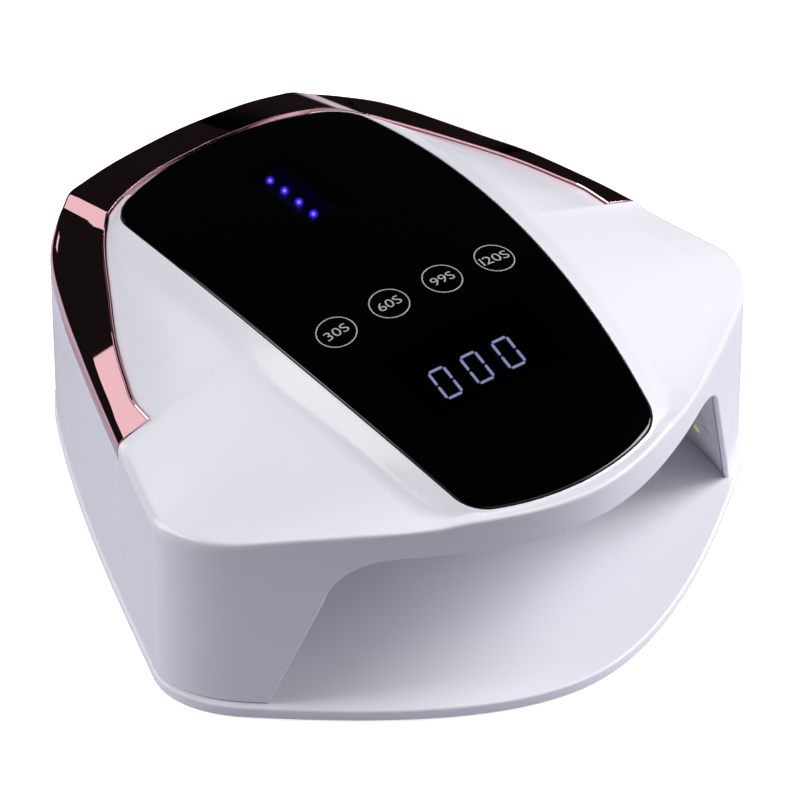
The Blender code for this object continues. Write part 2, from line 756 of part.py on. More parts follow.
def post_places():
    """Posts on top of the reflector: four for each of the two boards."""
    main = [(x, y, 79.7) for x in (-31, 31) for y in (-2, 46)]
    touch = [(x, y, 83.7) for x in (-27, 27) for y in (-62, -27)]
    return main + touch


# ---------------------------------------------------------------- LED boards
def make_led_boards():
    bottom = 70.6 + LINER_MARGIN + LINER_THICK + 0.5
    top = box("led_board_top", (112, 108, 1.6), (0, -24, bottom + 0.8), LED_BOARD)
    for y in TOP_LED_Y:
        for x in TOP_LED_X:
            join(top, cylinder("led", 2.5, bottom - 2.6, bottom + 0.5, x, y, sides=8, top_radius=2.7))
    for index, (x, y, height) in enumerate(post_places()):
        cut(top, cylinder(f"post_gap_{index}", 3.7, bottom - 3, bottom + 4, x, y, sides=14))
    rear_y = LINER_BACK_Y + LINER_THICK + 0.5
    rear = box("led_board_rear", (84, 1.6, 40), (0, rear_y + 0.8, 37), LED_BOARD)
    for x in REAR_LED_X:
        for z in REAR_LED_Z:
            join(rear, cross_cylinder("led", 2.5, rear_y - 2.4, rear_y + 0.5, x, z, sides=8))
    for side, name in ((1, "led_board_right"), (-1, "led_board_left")):
        x, z, lean = side_board_frame(side)
        board = box(name, (1.0, 59.2, 15), (x + side * 0.5 * math.cos(lean), -35.2, z + 0.5 * abs(math.sin(lean))),
                    LED_BOARD, turn=(0, -math.degrees(lean), 0))
        for y in SIDE_LED_Y:
            for dz in SIDE_LED_Z:
                along = (dz - z) / math.cos(lean)
                join(board, box("led", (3.6, 3.2, 3.2), (x - math.sin(lean) * along - side * 0.9, y,
                                                         dz - abs(math.sin(lean)) * 0.9),
                                turn=(0, -math.degrees(lean), 0)))


# ---------------------------------------------------------------- electronics
def make_boards():
    main = box("main_board", (74, 60, 1.6), (0, 22, 80.8), BOARD)
    for x, y, _ in post_places()[:4]:
        cut(main, cylinder("hole", 1.6, 78, 84, x, y, sides=12))
    join(main, box("coil", (9, 9, 4.6), (-18, 34, 83.7)), box("driver", (12, 8, 2.4), (2, 12, 82.6)),
         cylinder("capacitor", 3.5, 81, 87.0, 20, 32, sides=14), box("plug", (14, 5, 4.4), (14, 4, 83.6)))
    touch = box("touch_board", (72, 50, 1.6), (0, -41.5, 84.8), BOARD)
    for x, y, _ in post_places()[4:]:
        cut(touch, cylinder("hole", 1.6, 82, 88, x, y, sides=12))
    screws = [(x, y, top) for x, y, top in post_places()]
    for index, (x, y, top) in enumerate(screws):
        board_screw(f"board_screw_{index + 1}", x, y, top + GAP + 1.6)
    box("display_module", (50, 19, 2.6), (0, -52.3, 88.7), DISPLAY, turn=(8.2, 0, 0), bevel=0.4)
    for index, x in enumerate(BUTTON_X):
        high = roof_height(x, BUTTON_Y) - PANEL_THICK - 0.5
        cylinder(f"touch_spring_{index + 1}", 2.8, 85.9, high, x, BUTTON_Y, STEEL, sides=16)
    bar = box("battery_light_bar", (8, 36, 1.4), (0, 49.8, 88.0), BOARD, turn=(-5.4, 0, 0))
    for y, z in ((62.1, 87.3), (53.9, 88.1), (45.7, 88.9), (37.5, 89.6)):
        join(bar, cylinder("lamp", 1.3, z - 0.6, z + 1.3, 0, y, sides=12))
    cylinder("hand_sensor", 2.5, 71.7, 78.5, 0, -86, DARK, sides=16)


def board_screw(name, x, y, seat):
    """A small pan head screw standing on a board, seen head up."""
    screw = cylinder(name, 2.3, seat + 0.2, seat + 1.7, x, y, STEEL, sides=14, top_radius=1.7)
    join(screw, cylinder("shank", 1.0, seat - 5.6, seat + 0.8, x, y, sides=10))


def make_housing_screws():
    for index, (x, y) in enumerate(boss_places()):
        screw = cylinder(f"housing_screw_{index + 1}", 2.8, 6.0, FLANGE_BOTTOM - GAP, x, y, STEEL, sides=16)
        join(screw, cylinder("shank", 1.5, 7.0, 23.0, x, y, sides=12))


def make_battery():
    floor = FLANGE_BOTTOM + FLANGE_THICK + GAP
    holder = box("battery_holder", (80, 21, 7), (0, CELL_Y, floor + 3.5), DARK)
    for index, x in enumerate(CELL_X):
        cut(holder, cylinder("seat", CELL_RADIUS + GAP, floor + 1.6, floor + 12, x, CELL_Y, sides=20))
        cylinder(f"battery_cell_{index + 1}", CELL_RADIUS, floor + 1.9, floor + 1.9 + CELL_HEIGHT,
                 x, CELL_Y, CELL, sides=20)


def make_inlet():
    body = box("charging_inlet", (10, 11, 11), (INLET_X, 106.6, SWITCH_Z), DARK)
    join(body, cross_cylinder("barrel", 4.0, 108, 115.9, INLET_X, SWITCH_Z))
    cut(body, cross_cylinder("socket", 2.8, 106, 120, INLET_X, SWITCH_Z))
    join(body, cross_cylinder("centre_pin", 0.9, 104, 114, INLET_X, SWITCH_Z, sides=12))


def make_switch():
    frame = box("switch_frame", (10.4, 17, 16.4), (SWITCH_X, 107.4, SWITCH_Z), DARK)
    cut(frame, box("rocker_room", (8.8, 12, 14.0), (SWITCH_X, 111.2, SWITCH_Z)))
    half, depth, thick = 5.9, 5.0, 3.4
    fall = half * math.tan(math.radians(ROCKER_TILT))
    profile = [(thick - depth, -half), (thick - depth, half), (depth - fall - 1.2, half),
               (depth - 1.2, 0.0), (depth - fall - 1.2, -half)]
    sections = [[(x, y, z) for y, z in profile] for x in (-4.1, 4.1)]
    rocker = loft("power_rocker", sections, DARK, ring=False, capped=True)
    rocker.location = (SWITCH_X * MM, ROCKER_PIVOT_Y * MM, SWITCH_Z * MM)
    rocker.rotation_euler = (math.radians(ROCKER_TILT), 0, 0)


ROCKER_PIVOT_Y = 111.6

make_shell()
make_trim()
make_panel()
make_tray()
make_liner()
make_led_boards()
make_boards()
make_housing_screws()
make_battery()
make_inlet()
make_switch()
bpy.context.view_layer.update()
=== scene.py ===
"""Looks of the cordless UV LED nail lamp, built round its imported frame.

The frame's sizes are in metres.  The shaping functions below work in
millimetres and turn into metres where a mesh is made.
"""
import json
import math

import bmesh
import bpy
import numpy as np
from mathutils import Matrix, Vector


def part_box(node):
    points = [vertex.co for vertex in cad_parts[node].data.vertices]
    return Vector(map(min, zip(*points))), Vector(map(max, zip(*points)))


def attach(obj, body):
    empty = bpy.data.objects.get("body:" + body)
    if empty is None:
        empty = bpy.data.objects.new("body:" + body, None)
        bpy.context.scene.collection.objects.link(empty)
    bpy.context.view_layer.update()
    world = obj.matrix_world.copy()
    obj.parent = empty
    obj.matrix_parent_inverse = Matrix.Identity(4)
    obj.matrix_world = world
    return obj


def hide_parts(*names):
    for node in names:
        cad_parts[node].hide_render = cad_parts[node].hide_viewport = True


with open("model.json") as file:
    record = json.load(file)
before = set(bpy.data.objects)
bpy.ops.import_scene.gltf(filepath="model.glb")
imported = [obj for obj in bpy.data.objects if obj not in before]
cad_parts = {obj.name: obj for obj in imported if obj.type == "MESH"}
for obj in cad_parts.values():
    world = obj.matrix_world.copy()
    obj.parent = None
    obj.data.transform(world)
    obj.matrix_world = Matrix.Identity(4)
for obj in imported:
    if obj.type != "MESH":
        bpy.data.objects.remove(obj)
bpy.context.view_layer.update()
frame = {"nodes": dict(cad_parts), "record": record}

MM = 0.001
GAP = 0.3

# ------------------------------------------------------------------ camera
CAMERA_LENS = 337.5
CAMERA_DISTANCE = 2.5
CAMERA_TARGET = Vector((0.02979, 0.03114, 0.0))
CAMERA_BACK = Vector((-0.43353, -0.60647, 0.66653))

camera_data = bpy.data.cameras.new("studio_camera")
camera_data.sensor_width = 36.0
camera_data.lens = CAMERA_LENS
camera_data.clip_start = 0.1
camera_data.clip_end = 50.0
camera = bpy.data.objects.new("studio_camera", camera_data)
bpy.context.scene.collection.objects.link(camera)
camera.location = CAMERA_TARGET + CAMERA_BACK * CAMERA_DISTANCE
camera.rotation_mode = 'QUATERNION'
camera.rotation_quaternion = (-CAMERA_BACK).to_track_quat('-Z', 'Y')
bpy.context.scene.camera = camera

# ------------------------------------------------------------------ sizes
# Half of the tray's outline: x, y, heading in degrees, reach before and reach after.
TRAY_KNOTS = [
    (0.0, -116.8, 0.0, 0.0, 33.3), (99.2, -64.6, 39.7, 36.0, 12.1),
    (113.0, -32.9, 106.5, 12.5, 42.1), (75.8, 76.2, 113.5, 41.0, 17.1),
    (50.2, 111.0, 141.0, 17.5, 3.4), (42.5, 115.6, 176.5, 3.4, 14.0),
    (0.0, 116.8, 180.0, 14.0, 0.0),
]
TRAY_TOP = 5.4
TRAY_EDGE_FRONT, TRAY_EDGE_SIDE, TRAY_FOOT_ROUND = 0.8, 0.6, 1.0
HOUSING_FOOT = 5.7
SIDE_INSET, FRONT_INSET = 0.5, 2.25
WALL, FRONT_WALL = 2.8, 1.9
SHOULDER_INSIDE = 5.0
SHOULDER_ROUND = 2.8
# Height of the roof's edge at points along the outline.
SHOULDER_HEIGHTS = [
    ((0, -116.8), 83.6), ((24, -112), 83.6), ((38, -106), 82.9), ((43, -104), 82.2),
    ((51, -100), 80.6), ((68, -88), 78.8), ((87, -74), 76.0), ((105, -58), 72.6),
    ((113, -42), 71.6), ((108, -14), 71.6), ((104, -3), 72.4), ((103.4, 0), 73.4),
    ((97, 21), 74.0), ((91, 37), 73.9), ((82.5, 60), 71.9), ((68, 95), 70.3),
    ((48.7, 112.3), 69.4), ((45.6, 114.9), 70.0), ((24, 116.3), 73.4), ((0, 116.8), 74.6),
]
ROOF_TOP, ROOF_TOP_Y, ROOF_ARC, ROOF_CROWN = 99.2, -6.7, 317.0, 265.0
# The panel's outline is four arcs: half width, widest y and radius, then y and radius.
PANEL_SIDE = (49.9, 25.0, 580.0)
PANEL_FRONT = (-108.0, 79.0)
PANEL_BACK = (96.3, 103.0)
PANEL_CORNERS = (6.5, 9.0)
PANEL_THICK = 2.0
# The panel's rounded edge, top and below: inset and height from the roof's surface.
PANEL_EDGE = [(0.05, -0.95), (0.05, -0.5), (0.12, -0.24), (0.32, -0.05), (0.6, 0.0), (1.2, 0.0)]
PANEL_UNDER_EDGE = [(0.05, 0.35 - PANEL_THICK), (0.35, -PANEL_THICK), (1.2, -PANEL_THICK)]
LEDGE_WIDTH = 5.0
# Where the trim comes nearer to the panel than this, only a flat ledge is left between them.
NARROW_LEDGE = 3.2
# Points of the outline, and the panel's point that the roof runs to from each.
LOFT_PAIRS = [
    ((0, -116.8), (0, -108)), ((33, -109), (30, -102.2)), ((45, -103), (37, -98)),
    ((66, -90), (39, -90)), ((99.2, -64.6), (41.5, -76)), ((113, -33), (46.2, -33)),
    ((104, 0), (49.3, 0)), ((90, 40), (49.7, 40)), ((75.8, 76.2), (48.4, 68)),
    ((58, 105), (46.8, 79.5)), ((46.5, 114.3), (43.5, 86.5)), ((0, 116.8), (0, 96.3)),
]
# Width of the sloped band round the panel, at points along the outline.
CHAMFER_WIDTHS = [
    ((0, -116.8), 1.0), ((38, -106), 1.4), ((50, -100), 5.0), ((68, -88), 8.2),
    ((91, 37), 8.2), ((76, 76), 6.0), ((60, 104), 2.5), ((46, 114.5), 1.6), ((0, 116.8), 0.2),
]
CHAMFER_FALL = 0.65
# Points of the outline, and the trim's inner edge there: x, y, z.
TRIM_EDGE = [
    ((103.4, 0), (90.5, -1.0, 78.5)), ((101.2, 8), (89.7, 8.1, 77.9)),
    ((97, 21), (85.5, 20.2, 78.0)), ((91, 37), (78.9, 35.4, 78.4)),
    ((82.5, 60), (68.0, 55.4, 78.6)), ((75, 79), (57.8, 73.4, 78.4)),
    ((62, 101), (53.1, 80.6, 78.7)), ((48.7, 112.3), (50.2, 84.2, 78.9)),
    ((45.6, 114.9), (46.5, 88.9, 79.2)), ((34, 116), (34.0, 93.6, 81.2)),
    ((20, 116.5), (20.0, 95.9, 82.2)), ((0, 116.8), (0, 97.0, 82.4)),
]
FACET_SPLIT = 0.28
TRIM_THICK, TRIM_SKIRT, TRIM_SEAT = 1.8, 6.8, 2.4
TRIM_BAND, TRIM_STEP = 1.1, 0.5
TRIM_ROUND_BACK, TRIM_ROUND_ARM = 1.3, 3.2
# Half of the opening's outline, from its foot to its top middle, and the corner to round.
ARCH = [(93.6, 0.0), (91.9, 5.4), (76.2, 56.0), (74.4, 61.0), (71.0, 65.3),
        (66.0, 67.6), (58.0, 68.7), (40.0, 69.6), (0.0, 70.6)]
ARCH_CORNER, ARCH_CORNER_END = (74.9, 67.9), (77.75, 51.0)
RIM_ROUND = 0.8
LINER_MARGIN, LINER_WALL = 0.8, 1.3
LINER_BACK_Y, LINER_BACK_SCALE = 68.0, 0.685
BUTTON_TIMES = ("30S", "60S", "99S", "120S")
BUTTON_X = (-31.0, -10.4, 10.4, 31.0)
BUTTON_Y = -19.2
LABEL_WIDTH, LONG_LABEL_WIDTH, LABEL_HEIGHT = 8.3, 10.4, 3.7
# Clear windows in the panel: lowest x, highest x, lowest y, highest y.
DISPLAY_WINDOW = (-27.0, 27.0, -68.0, -37.0)
BATTERY_WINDOW = (-7.0, 12.0, 30.0, 70.0)
DISPLAY_TOP, DISPLAY_SLOPE = 90.35, 0.144
DIGIT_HALF_WIDTH, DIGIT_HALF_HEIGHT, DIGIT_PITCH, DIGIT_SLANT = 2.9, 6.0, 12.3, 3.5
BATTERY_SPOTS = [(0, 62.1, 87.7), (0, 53.9, 89.1), (0, 45.7, 89.9), (0, 37.5, 90.6)]
ROOF_LED_ROWS, ROOF_LED_COLUMNS = (-66, -38, -10, 18), (-44, -22, 0, 22, 44)
WALL_LED_ROWS, WALL_LED_HEIGHTS = (-65.8, -55.0, -45.0, -34.0, -24.0, -13.0, -3.0), (35.2, 19.7)
REAR_LED_COLUMNS, REAR_LED_HEIGHTS, REAR_LED_Y = (-30, 0, 30), (28.0, 46.0), 67.4
# Holes in the rear wall: the inlet's is turned from radius and depth, the switch's is a block.
INLET_HOLE, INLET_HOLE_Y = [(4.35, -12), (4.35, 6), (4.9, 6.6), (6.0, 12)], 110.4
INLET_RING = [(2.9, -3.0), (2.9, 0.0), (3.1, 0.2), (3.9, 0.2), (4.1, 0.0), (4.1, -3.0)]
INLET_RING_Y = 115.6
SWITCH_HOLE, SWITCH_HOLE_Y = (11.2, 30, 17.2), 115


def centre_of(node):
    """The middle of a frame node's box, in millimetres."""
    low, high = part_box(node)
    return (low + high) / 2 / MM


# ------------------------------------------------------------------ meshes
def linked(name, data):
    made = bpy.data.objects.new(name, data)
    bpy.context.scene.collection.objects.link(made)
    return made


def shade_by_angle(mesh, degrees):
    mesh.shade_smooth()
    mesh.set_sharp_from_angle(angle=math.radians(degrees))


def settled_mesh(made):
    """The plain mesh that an object's modifiers or lettering give."""
    bpy.context.view_layer.update()
    depsgraph = bpy.context.evaluated_depsgraph_get()
    return bpy.data.meshes.new_from_object(made.evaluated_get(depsgraph))


def vert_row(bm, points):
    """Vertices at points given in millimetres."""
    return [bm.verts.new([float(c) * MM for c in p]) for p in points]


def bridge(bm, a, b, closed=True):
    """A band of faces between two rows of vertices."""
    for i in range(len(a) if closed else len(a) - 1):
        j = (i + 1) % len(a)
        bm.faces.new((a[i], a[j], b[j], b[i]))


def piece_from(name, bm, materials, smooth_angle=30):
    """A shaded object from a closed mesh, with its faces turned outward."""
    bmesh.ops.recalc_face_normals(bm, faces=bm.faces)
    mesh = bpy.data.meshes.new(name)
    bm.to_mesh(mesh)
    bm.free()
    shade_by_angle(mesh, smooth_angle)
    for mat in materials:
        mesh.materials.append(mat)
    return linked(name, mesh)


def lofted(name, sections, materials, ring=True, capped=False, smooth_angle=30):
    """A skin through closed sections; ring joins the last to the first."""
    bm = bmesh.new()
    rows = [vert_row(bm, section) for section in sections]
    for a, b in zip(rows, rows[1:] + (rows[:1] if ring else [])):
        bridge(bm, a, b)
    if capped:
        bm.faces.new(rows[0])
        bm.faces.new(rows[-1])
    return piece_from(name, bm, materials, smooth_angle)


def block(name, size, centre, materials, bevel=0.0, turn_x=0.0):
    """A slab with rounded edges, turned about X before it is placed."""
    bm = bmesh.new()
    bmesh.ops.create_cube(bm, size=1.0)
    bmesh.ops.scale(bm, vec=[c * MM for c in size], verts=bm.verts)
    if bevel:
        bmesh.ops.bevel(bm, geom=bm.edges[:], offset=bevel * MM, segments=3, profile=0.5,
                        affect='EDGES')
    bmesh.ops.rotate(bm, matrix=Matrix.Rotation(turn_x, 3, 'X'), verts=bm.verts)
    bmesh.ops.translate(bm, vec=[c * MM for c in centre], verts=bm.verts)
    return piece_from(name, bm, materials)


def turned(name, profile, centre, materials, along_y=False, sides=64):
    """A solid of revolution from (radius, height) points, closed on its axis."""
    bm = bmesh.new()
    rings = []
    for radius, height in profile:
        ring = []
        for k in range(sides):
            a = 2 * math.pi * k / sides
            p = Vector((radius * math.cos(a), radius * math.sin(a), height))
            if along_y:
                p = Vector((p.x, p.z, -p.y))
            ring.append(bm.verts.new((p + Vector(centre)) * MM))
        rings.append(ring)
    for a, b in zip(rings, rings[1:]):
        bridge(bm, a, b)
    bm.faces.new(rings[0])
    bm.faces.new(rings[-1])
    return piece_from(name, bm, materials)


def cut(target, cutter):
    """Take the cutter's shape out of the target, and drop the cutter."""
    step = target.modifiers.new("cut", 'BOOLEAN')
    step.operation = 'DIFFERENCE'
    step.solver = 'EXACT'
    step.object = cutter
    result = settled_mesh(target)
    target.modifiers.remove(step)
    target.data = result
    shade_by_angle(result, 30)
    bpy.data.objects.remove(cutter, do_unlink=True)


# ------------------------------------------------------------------ curves
class Track:
    """A plan curve read by the distance along it."""

    def __init__(self, points):
        self.points = np.array(points, float)
        self.run = np.concatenate([[0.0], np.cumsum(np.hypot(*np.diff(self.points, axis=0).T))])
        self.length = self.run[-1]

    def at(self, s):
        return np.array([np.interp(s, self.run, self.points[:, k]) for k in (0, 1)])

    def nearest(self, point):
        p = np.array(point, float)
        a = self.points[:-1]
        step = np.diff(self.points, axis=0)
        size = (step ** 2).sum(1)
        t = np.clip(((p - a) * step).sum(1) / np.where(size > 0, size, 1), 0, 1)
        gaps = np.hypot(*(a + step * t[:, None] - p).T)
        i = int(np.argmin(gaps))
        return self.run[i] + t[i] * math.sqrt(size[i])

    def outward(self, s):
        if s <= 0 or s >= self.length:
            return np.array((0.0, -1.0 if s <= 0 else 1.0))
        a, b = self.at(max(s - 0.8, 0.0)), self.at(min(s + 0.8, self.length))
        if s < 0.8 or s > self.length - 0.8:
            a, b = self.at(s - 0.01), self.at(s)
        along = (b - a) / np.hypot(*(b - a))
        return np.array((along[1], -along[0]))


def smooth_curve(xs, ys):
    """A curve through every point that never swings past them."""
    xs, ys = np.array(xs, float), np.array(ys, float)
    step = np.diff(xs)
    slope = np.diff(ys) / step
    tangent = np.zeros_like(ys)
    for i in range(1, len(xs) - 1):
        if slope[i - 1] * slope[i] > 0:
            w1, w2 = 2 * step[i] + step[i - 1], step[i] + 2 * step[i - 1]
            tangent[i] = (w1 + w2) / (w1 / slope[i - 1] + w2 / slope[i])

    def at(x):
        i = int(np.clip(np.searchsorted(xs, x) - 1, 0, len(step) - 1))
        h = step[i]
        t = min(max((x - xs[i]) / h, 0.0), 1.0)
        return ((1 + 2 * t) * (1 - t) ** 2 * ys[i] + t * (1 - t) ** 2 * h * tangent[i]
                + t * t * (3 - 2 * t) * ys[i + 1] - t * t * (1 - t) * h * tangent[i + 1])
    return at


def ramp(value, low, high):
    """Rises softly from 0 at low to 1 at high."""
    t = min(max((value - low) / (high - low), 0.0), 1.0)
    return t * t * (3 - 2 * t)


def unit(v):
    return v / math.sqrt(float(v @ v))


def tray_track():
    """The right half of the tray's outline, nose to back."""
    points = []
    for (x0, y0, h0, _, reach0), (x3, y3, h3, reach3, _) in zip(TRAY_KNOTS, TRAY_KNOTS[1:]):
        p0, p3 = np.array((x0, y0)), np.array((x3, y3))
        a0, a3 = math.radians(h0), math.radians(h3)
        p1 = p0 + reach0 * np.array((math.cos(a0), math.sin(a0)))
        p2 = p3 - reach3 * np.array((math.cos(a3), math.sin(a3)))
        for t in np.linspace(0, 1, 400, endpoint=False):
            u = 1 - t
            points.append(u ** 3 * p0 + 3 * u * u * t * p1 + 3 * u * t * t * p2 + t ** 3 * p3)
    return Track(points + [np.array(TRAY_KNOTS[-1][:2])])


def rounded(a, corner, b, steps=40):
    """Points of a soft corner from a to b, without a itself."""
    out = []
    for t in np.linspace(0, 1, steps)[1:]:
        u = 1 - t
        out.append(u ** 3 * a + 3 * u * u * t * (a + 0.6 * (corner - a))
                   + 3 * u * t * t * (b + 0.6 * (corner - b)) + t ** 3 * b)
    return out


def panel_track():
    """The right half of the panel's outline, front to back."""
    half, side_y, side_r = PANEL_SIDE
    front_y, front_r = PANEL_FRONT
    back_y, back_r = PANEL_BACK

    def side(y):
        return np.array((half - side_r + math.sqrt(side_r ** 2 - (y - side_y) ** 2), y))

    def front(x):
        return np.array((x, front_y + front_r - math.sqrt(front_r ** 2 - x * x)))

    def back(x):
        return np.array((x, back_y - back_r + math.sqrt(back_r ** 2 - x * x)))

    front_x = min(np.linspace(30, 45, 1501), key=lambda x: abs(side(front(x)[1])[0] - x))
    back_x = min(np.linspace(38, 52, 1401), key=lambda x: abs(side(back(x)[1])[0] - x))
    cut_front, cut_back = PANEL_CORNERS
    points = [front(x) for x in np.linspace(0, front_x - cut_front, 150)]
    points += rounded(points[-1], front(front_x), side(front(front_x)[1] + cut_front))
    points += [side(y) for y in np.linspace(points[-1][1], back(back_x)[1] - cut_back, 400)[1:]]
    points += rounded(points[-1], back(back_x), back(back_x - cut_back))
    points += [back(x) for x in np.linspace(points[-1][0], 0, 150)[1:]]
    return Track(points)


TRAY, PANEL = tray_track(), panel_track()


def roof_height(x, y):
    return (ROOF_TOP - (ROOF_ARC - math.sqrt(ROOF_ARC ** 2 - (y - ROOF_TOP_Y) ** 2))
            - (ROOF_CROWN - math.sqrt(ROOF_CROWN ** 2 - x * x)))


def against_tray(table):
    """A value along the tray's outline from (point, value) rows."""
    return smooth_curve([TRAY.nearest(p) for p, _ in table], [v for _, v in table])


shoulder_height = against_tray(SHOULDER_HEIGHTS)
chamfer_width = against_tray(CHAMFER_WIDTHS)
panel_distance = smooth_curve([TRAY.nearest(a) for a, _ in LOFT_PAIRS],
                              [PANEL.nearest(b) for _, b in LOFT_PAIRS])
trim_edge = [smooth_curve([TRAY.nearest(a) for a, _ in TRIM_EDGE],
                          [p[k] for _, p in TRIM_EDGE]) for k in range(3)]
TRIM_START = TRAY.nearest(TRIM_EDGE[0][0])
REAR_START = TRAY.nearest((46.5, 114.2))
CHAMFER_FROM, CHAMFER_TO = TRAY.nearest((50.6, 110.7)), TRAY.nearest((45.2, 115.0))


def housing_inset(s):
    """How far the housing's wall stands in from the tray's edge."""
    return FRONT_INSET + (SIDE_INSET - FRONT_INSET) * ramp(TRAY.at(s)[1], -62, -28)


def wall_thickness(s):
    return FRONT_WALL + (WALL - FRONT_WALL) * ramp(TRAY.at(s)[1], -82, -69)


def station_at(s):
    """Key points of the roof's column at a distance along the outline."""
    out = TRAY.outward(s)
    corner = TRAY.at(s) - out * housing_inset(s)
    edge = np.array([curve(s) for curve in trim_edge])
    panel_run = PANEL.nearest(edge[:2]) if s > REAR_START else panel_distance(s)
    if REAR_START - 14 < s <= REAR_START:
        share = ramp(s, REAR_START - 14, REAR_START)
        panel_run = panel_run * (1 - share) + PANEL.nearest(edge[:2]) * share
    panel = PANEL.at(panel_run)
    towards = corner - panel
    towards = towards / np.hypot(*towards)
    panel_z = roof_height(*panel)
    width = chamfer_width(s)
    crease = np.array((*(panel + towards * width), panel_z - CHAMFER_FALL * width))
    top = np.array((*corner, shoulder_height(s)))
    trimmed = s >= TRIM_START - 2 * GAP
    if trimmed and s < TRIM_START:
        edge[1] -= 1.5 * GAP
    elif not trimmed:
        reach = np.hypot(*(crease[:2] - corner))
        edge = top + (crease - top) * max(FACET_SPLIT, 4.0 / reach)
    return {"corner": top, "out": out, "panel": np.array((*panel, panel_z)), "s": s,
            "crease": crease, "edge": edge, "trimmed": trimmed, "run": panel_run}


def blended(a, b, share):
    """A column between two others, for a flat facet with hard creases."""
    mixed = dict(a)
    for key in ("corner", "panel", "crease", "edge", "run"):
        mixed[key] = a[key] * (1 - share) + b[key] * share
    return mixed


def station(s):
    """Key points of one column; the rear corner is one flat facet."""
    if CHAMFER_FROM < s < CHAMFER_TO:
        share = (s - CHAMFER_FROM) / (CHAMFER_TO - CHAMFER_FROM)
        mixed = blended(station_at(CHAMFER_FROM), station_at(CHAMFER_TO), share)
        here = TRAY.at(s) - TRAY.outward(s) * housing_inset(s)
        mixed["corner"] = np.array((*here, mixed["corner"][2]))
        mixed["out"] = TRAY.outward(s)
        mixed["s"] = s
        return mixed
    return station_at(s)


def bend(before, corner, after, radius, steps):
    """Points of a rounded corner, with a support point on either side."""
    a, b = before - corner, after - corner
    la, lb = math.sqrt(a @ a), math.sqrt(b @ b)
    a, b = a / la, b / lb
    r = min(radius, 0.47 * la, 0.47 * lb)
    start, end = corner + a * r, corner + b * r
    points = [corner + a * min(r + 0.5, 0.49 * la)]
    for t in np.linspace(0, 1, steps):
        u = 1 - t
        points.append(u * u * start + 2 * u * t * corner + t * t * end)
    return points + [corner + b * min(r + 0.5, 0.49 * lb)]


def sunk_corner(st, sink):
    """The shoulder's corner sunk below wall and roof, and the roof's direction inward."""
    out = np.array((*st["out"], 0.0))
    inward = unit(st["edge"] - st["corner"])
    normal = unit(np.cross(np.cross(inward, np.array((0.0, 0.0, 1.0))), inward))
    return st["corner"] - out * sink - normal * sink, inward


def mirrored(section):
    return [np.array((-p[0], p[1], p[2])) for p in section]


def both_sides(right):
    """A full ring of sections from its right half, with its ends on the middle plane."""
    for section in (right[0], right[-1]):
        for point in section:
            point[0] = 0.0
    return right + [mirrored(section) for section in right[-2:0:-1]]


# ------------------------------------------------------------------ hand opening
def arch_curve():
    """Half of the opening's outline, top middle first, with rounded corners."""
    half = [np.array(p) for p in ARCH[::-1]]
    top = [half[0] + (half[1] - half[0]) * t for t in np.linspace(0, 1, 30)]
    dense = top + [half[1] + (half[2] - half[1]) * t for t in np.linspace(0, 1, 12)[1:]]
    dense += rounded(half[2], np.array(ARCH_CORNER), np.array(ARCH_CORNER_END), 60)
    dense += [dense[-1] + (np.array(ARCH[1]) - dense[-1]) * t for t in np.linspace(0, 1, 90)[1:]]
    return Track(dense)


ARCH_TRACK = arch_curve()


def arch_point(t, margin):
    """A point of the opening's outline; margin moves it outward into the wall."""
    here = ARCH_TRACK.at(t)
    low, high = max(t - 0.6, 0.0), min(t + 0.6, ARCH_TRACK.length)
    along = ARCH_TRACK.at(high) - ARCH_TRACK.at(low)
    along /= np.hypot(*along)
    normal = np.array((-along[1], along[0]))
    if t <= 0:
        normal = np.array((0.0, 1.0))
    return here + normal * margin


FACE_S = np.linspace(0, 160, 1200)
FACE_X = np.array([(TRAY.at(s) - TRAY.outward(s) * FRONT_INSET)[0] for s in FACE_S])
FACE_END = int(np.argmax(FACE_X))


def face_run(x):
    """Distance along the outline at which the front face has this x."""
    return float(np.interp(x, FACE_X[:FACE_END], FACE_S[:FACE_END]))


def on_wall(s, z, depth):
    """A point of the housing's wall, at a depth below its outer face."""
    p = TRAY.at(s) - TRAY.outward(s) * (housing_inset(s) + depth)
    return np.array((p[0], p[1], z))


OPENING_END = face_run(arch_point(ARCH_TRACK.length, RIM_ROUND)[0])


def rim_points(t):
    """From the inside of the wall, over the rounded rim, to the outer face."""
    points = []
    for depth, margin in ((FRONT_WALL, 0.35), (FRONT_WALL - 0.35, 0.0), (FRONT_WALL * 0.5, 0.0)):
        x, z = arch_point(t, margin)
        points.append(on_wall(face_run(x), z, depth))
    for angle in np.linspace(0, 90, 6):
        a = math.radians(angle)
        x, z = arch_point(t, RIM_ROUND * (1 - math.cos(a)))
        points.append(on_wall(face_run(x), z, RIM_ROUND * (1 - math.sin(a))))
    x, z = arch_point(t, RIM_ROUND + 0.6)
    points.append(on_wall(face_run(x), z, 0.0))
    return points


def foot_points(s):
    """The same number of points round the foot of a wall that reaches the tray."""
    thick = wall_thickness(s)
    z = HOUSING_FOOT
    points = [on_wall(s, z + 0.35, thick), on_wall(s, z, thick - 0.35), on_wall(s, z, thick * 0.5)]
    for angle in np.linspace(0, 90, 6):
        a = math.radians(angle)
        points.append(on_wall(s, z + 0.5 * (1 - math.cos(a)), 0.5 * (1 - math.sin(a))))
    return points + [on_wall(s, z + 1.1, 0.0)]


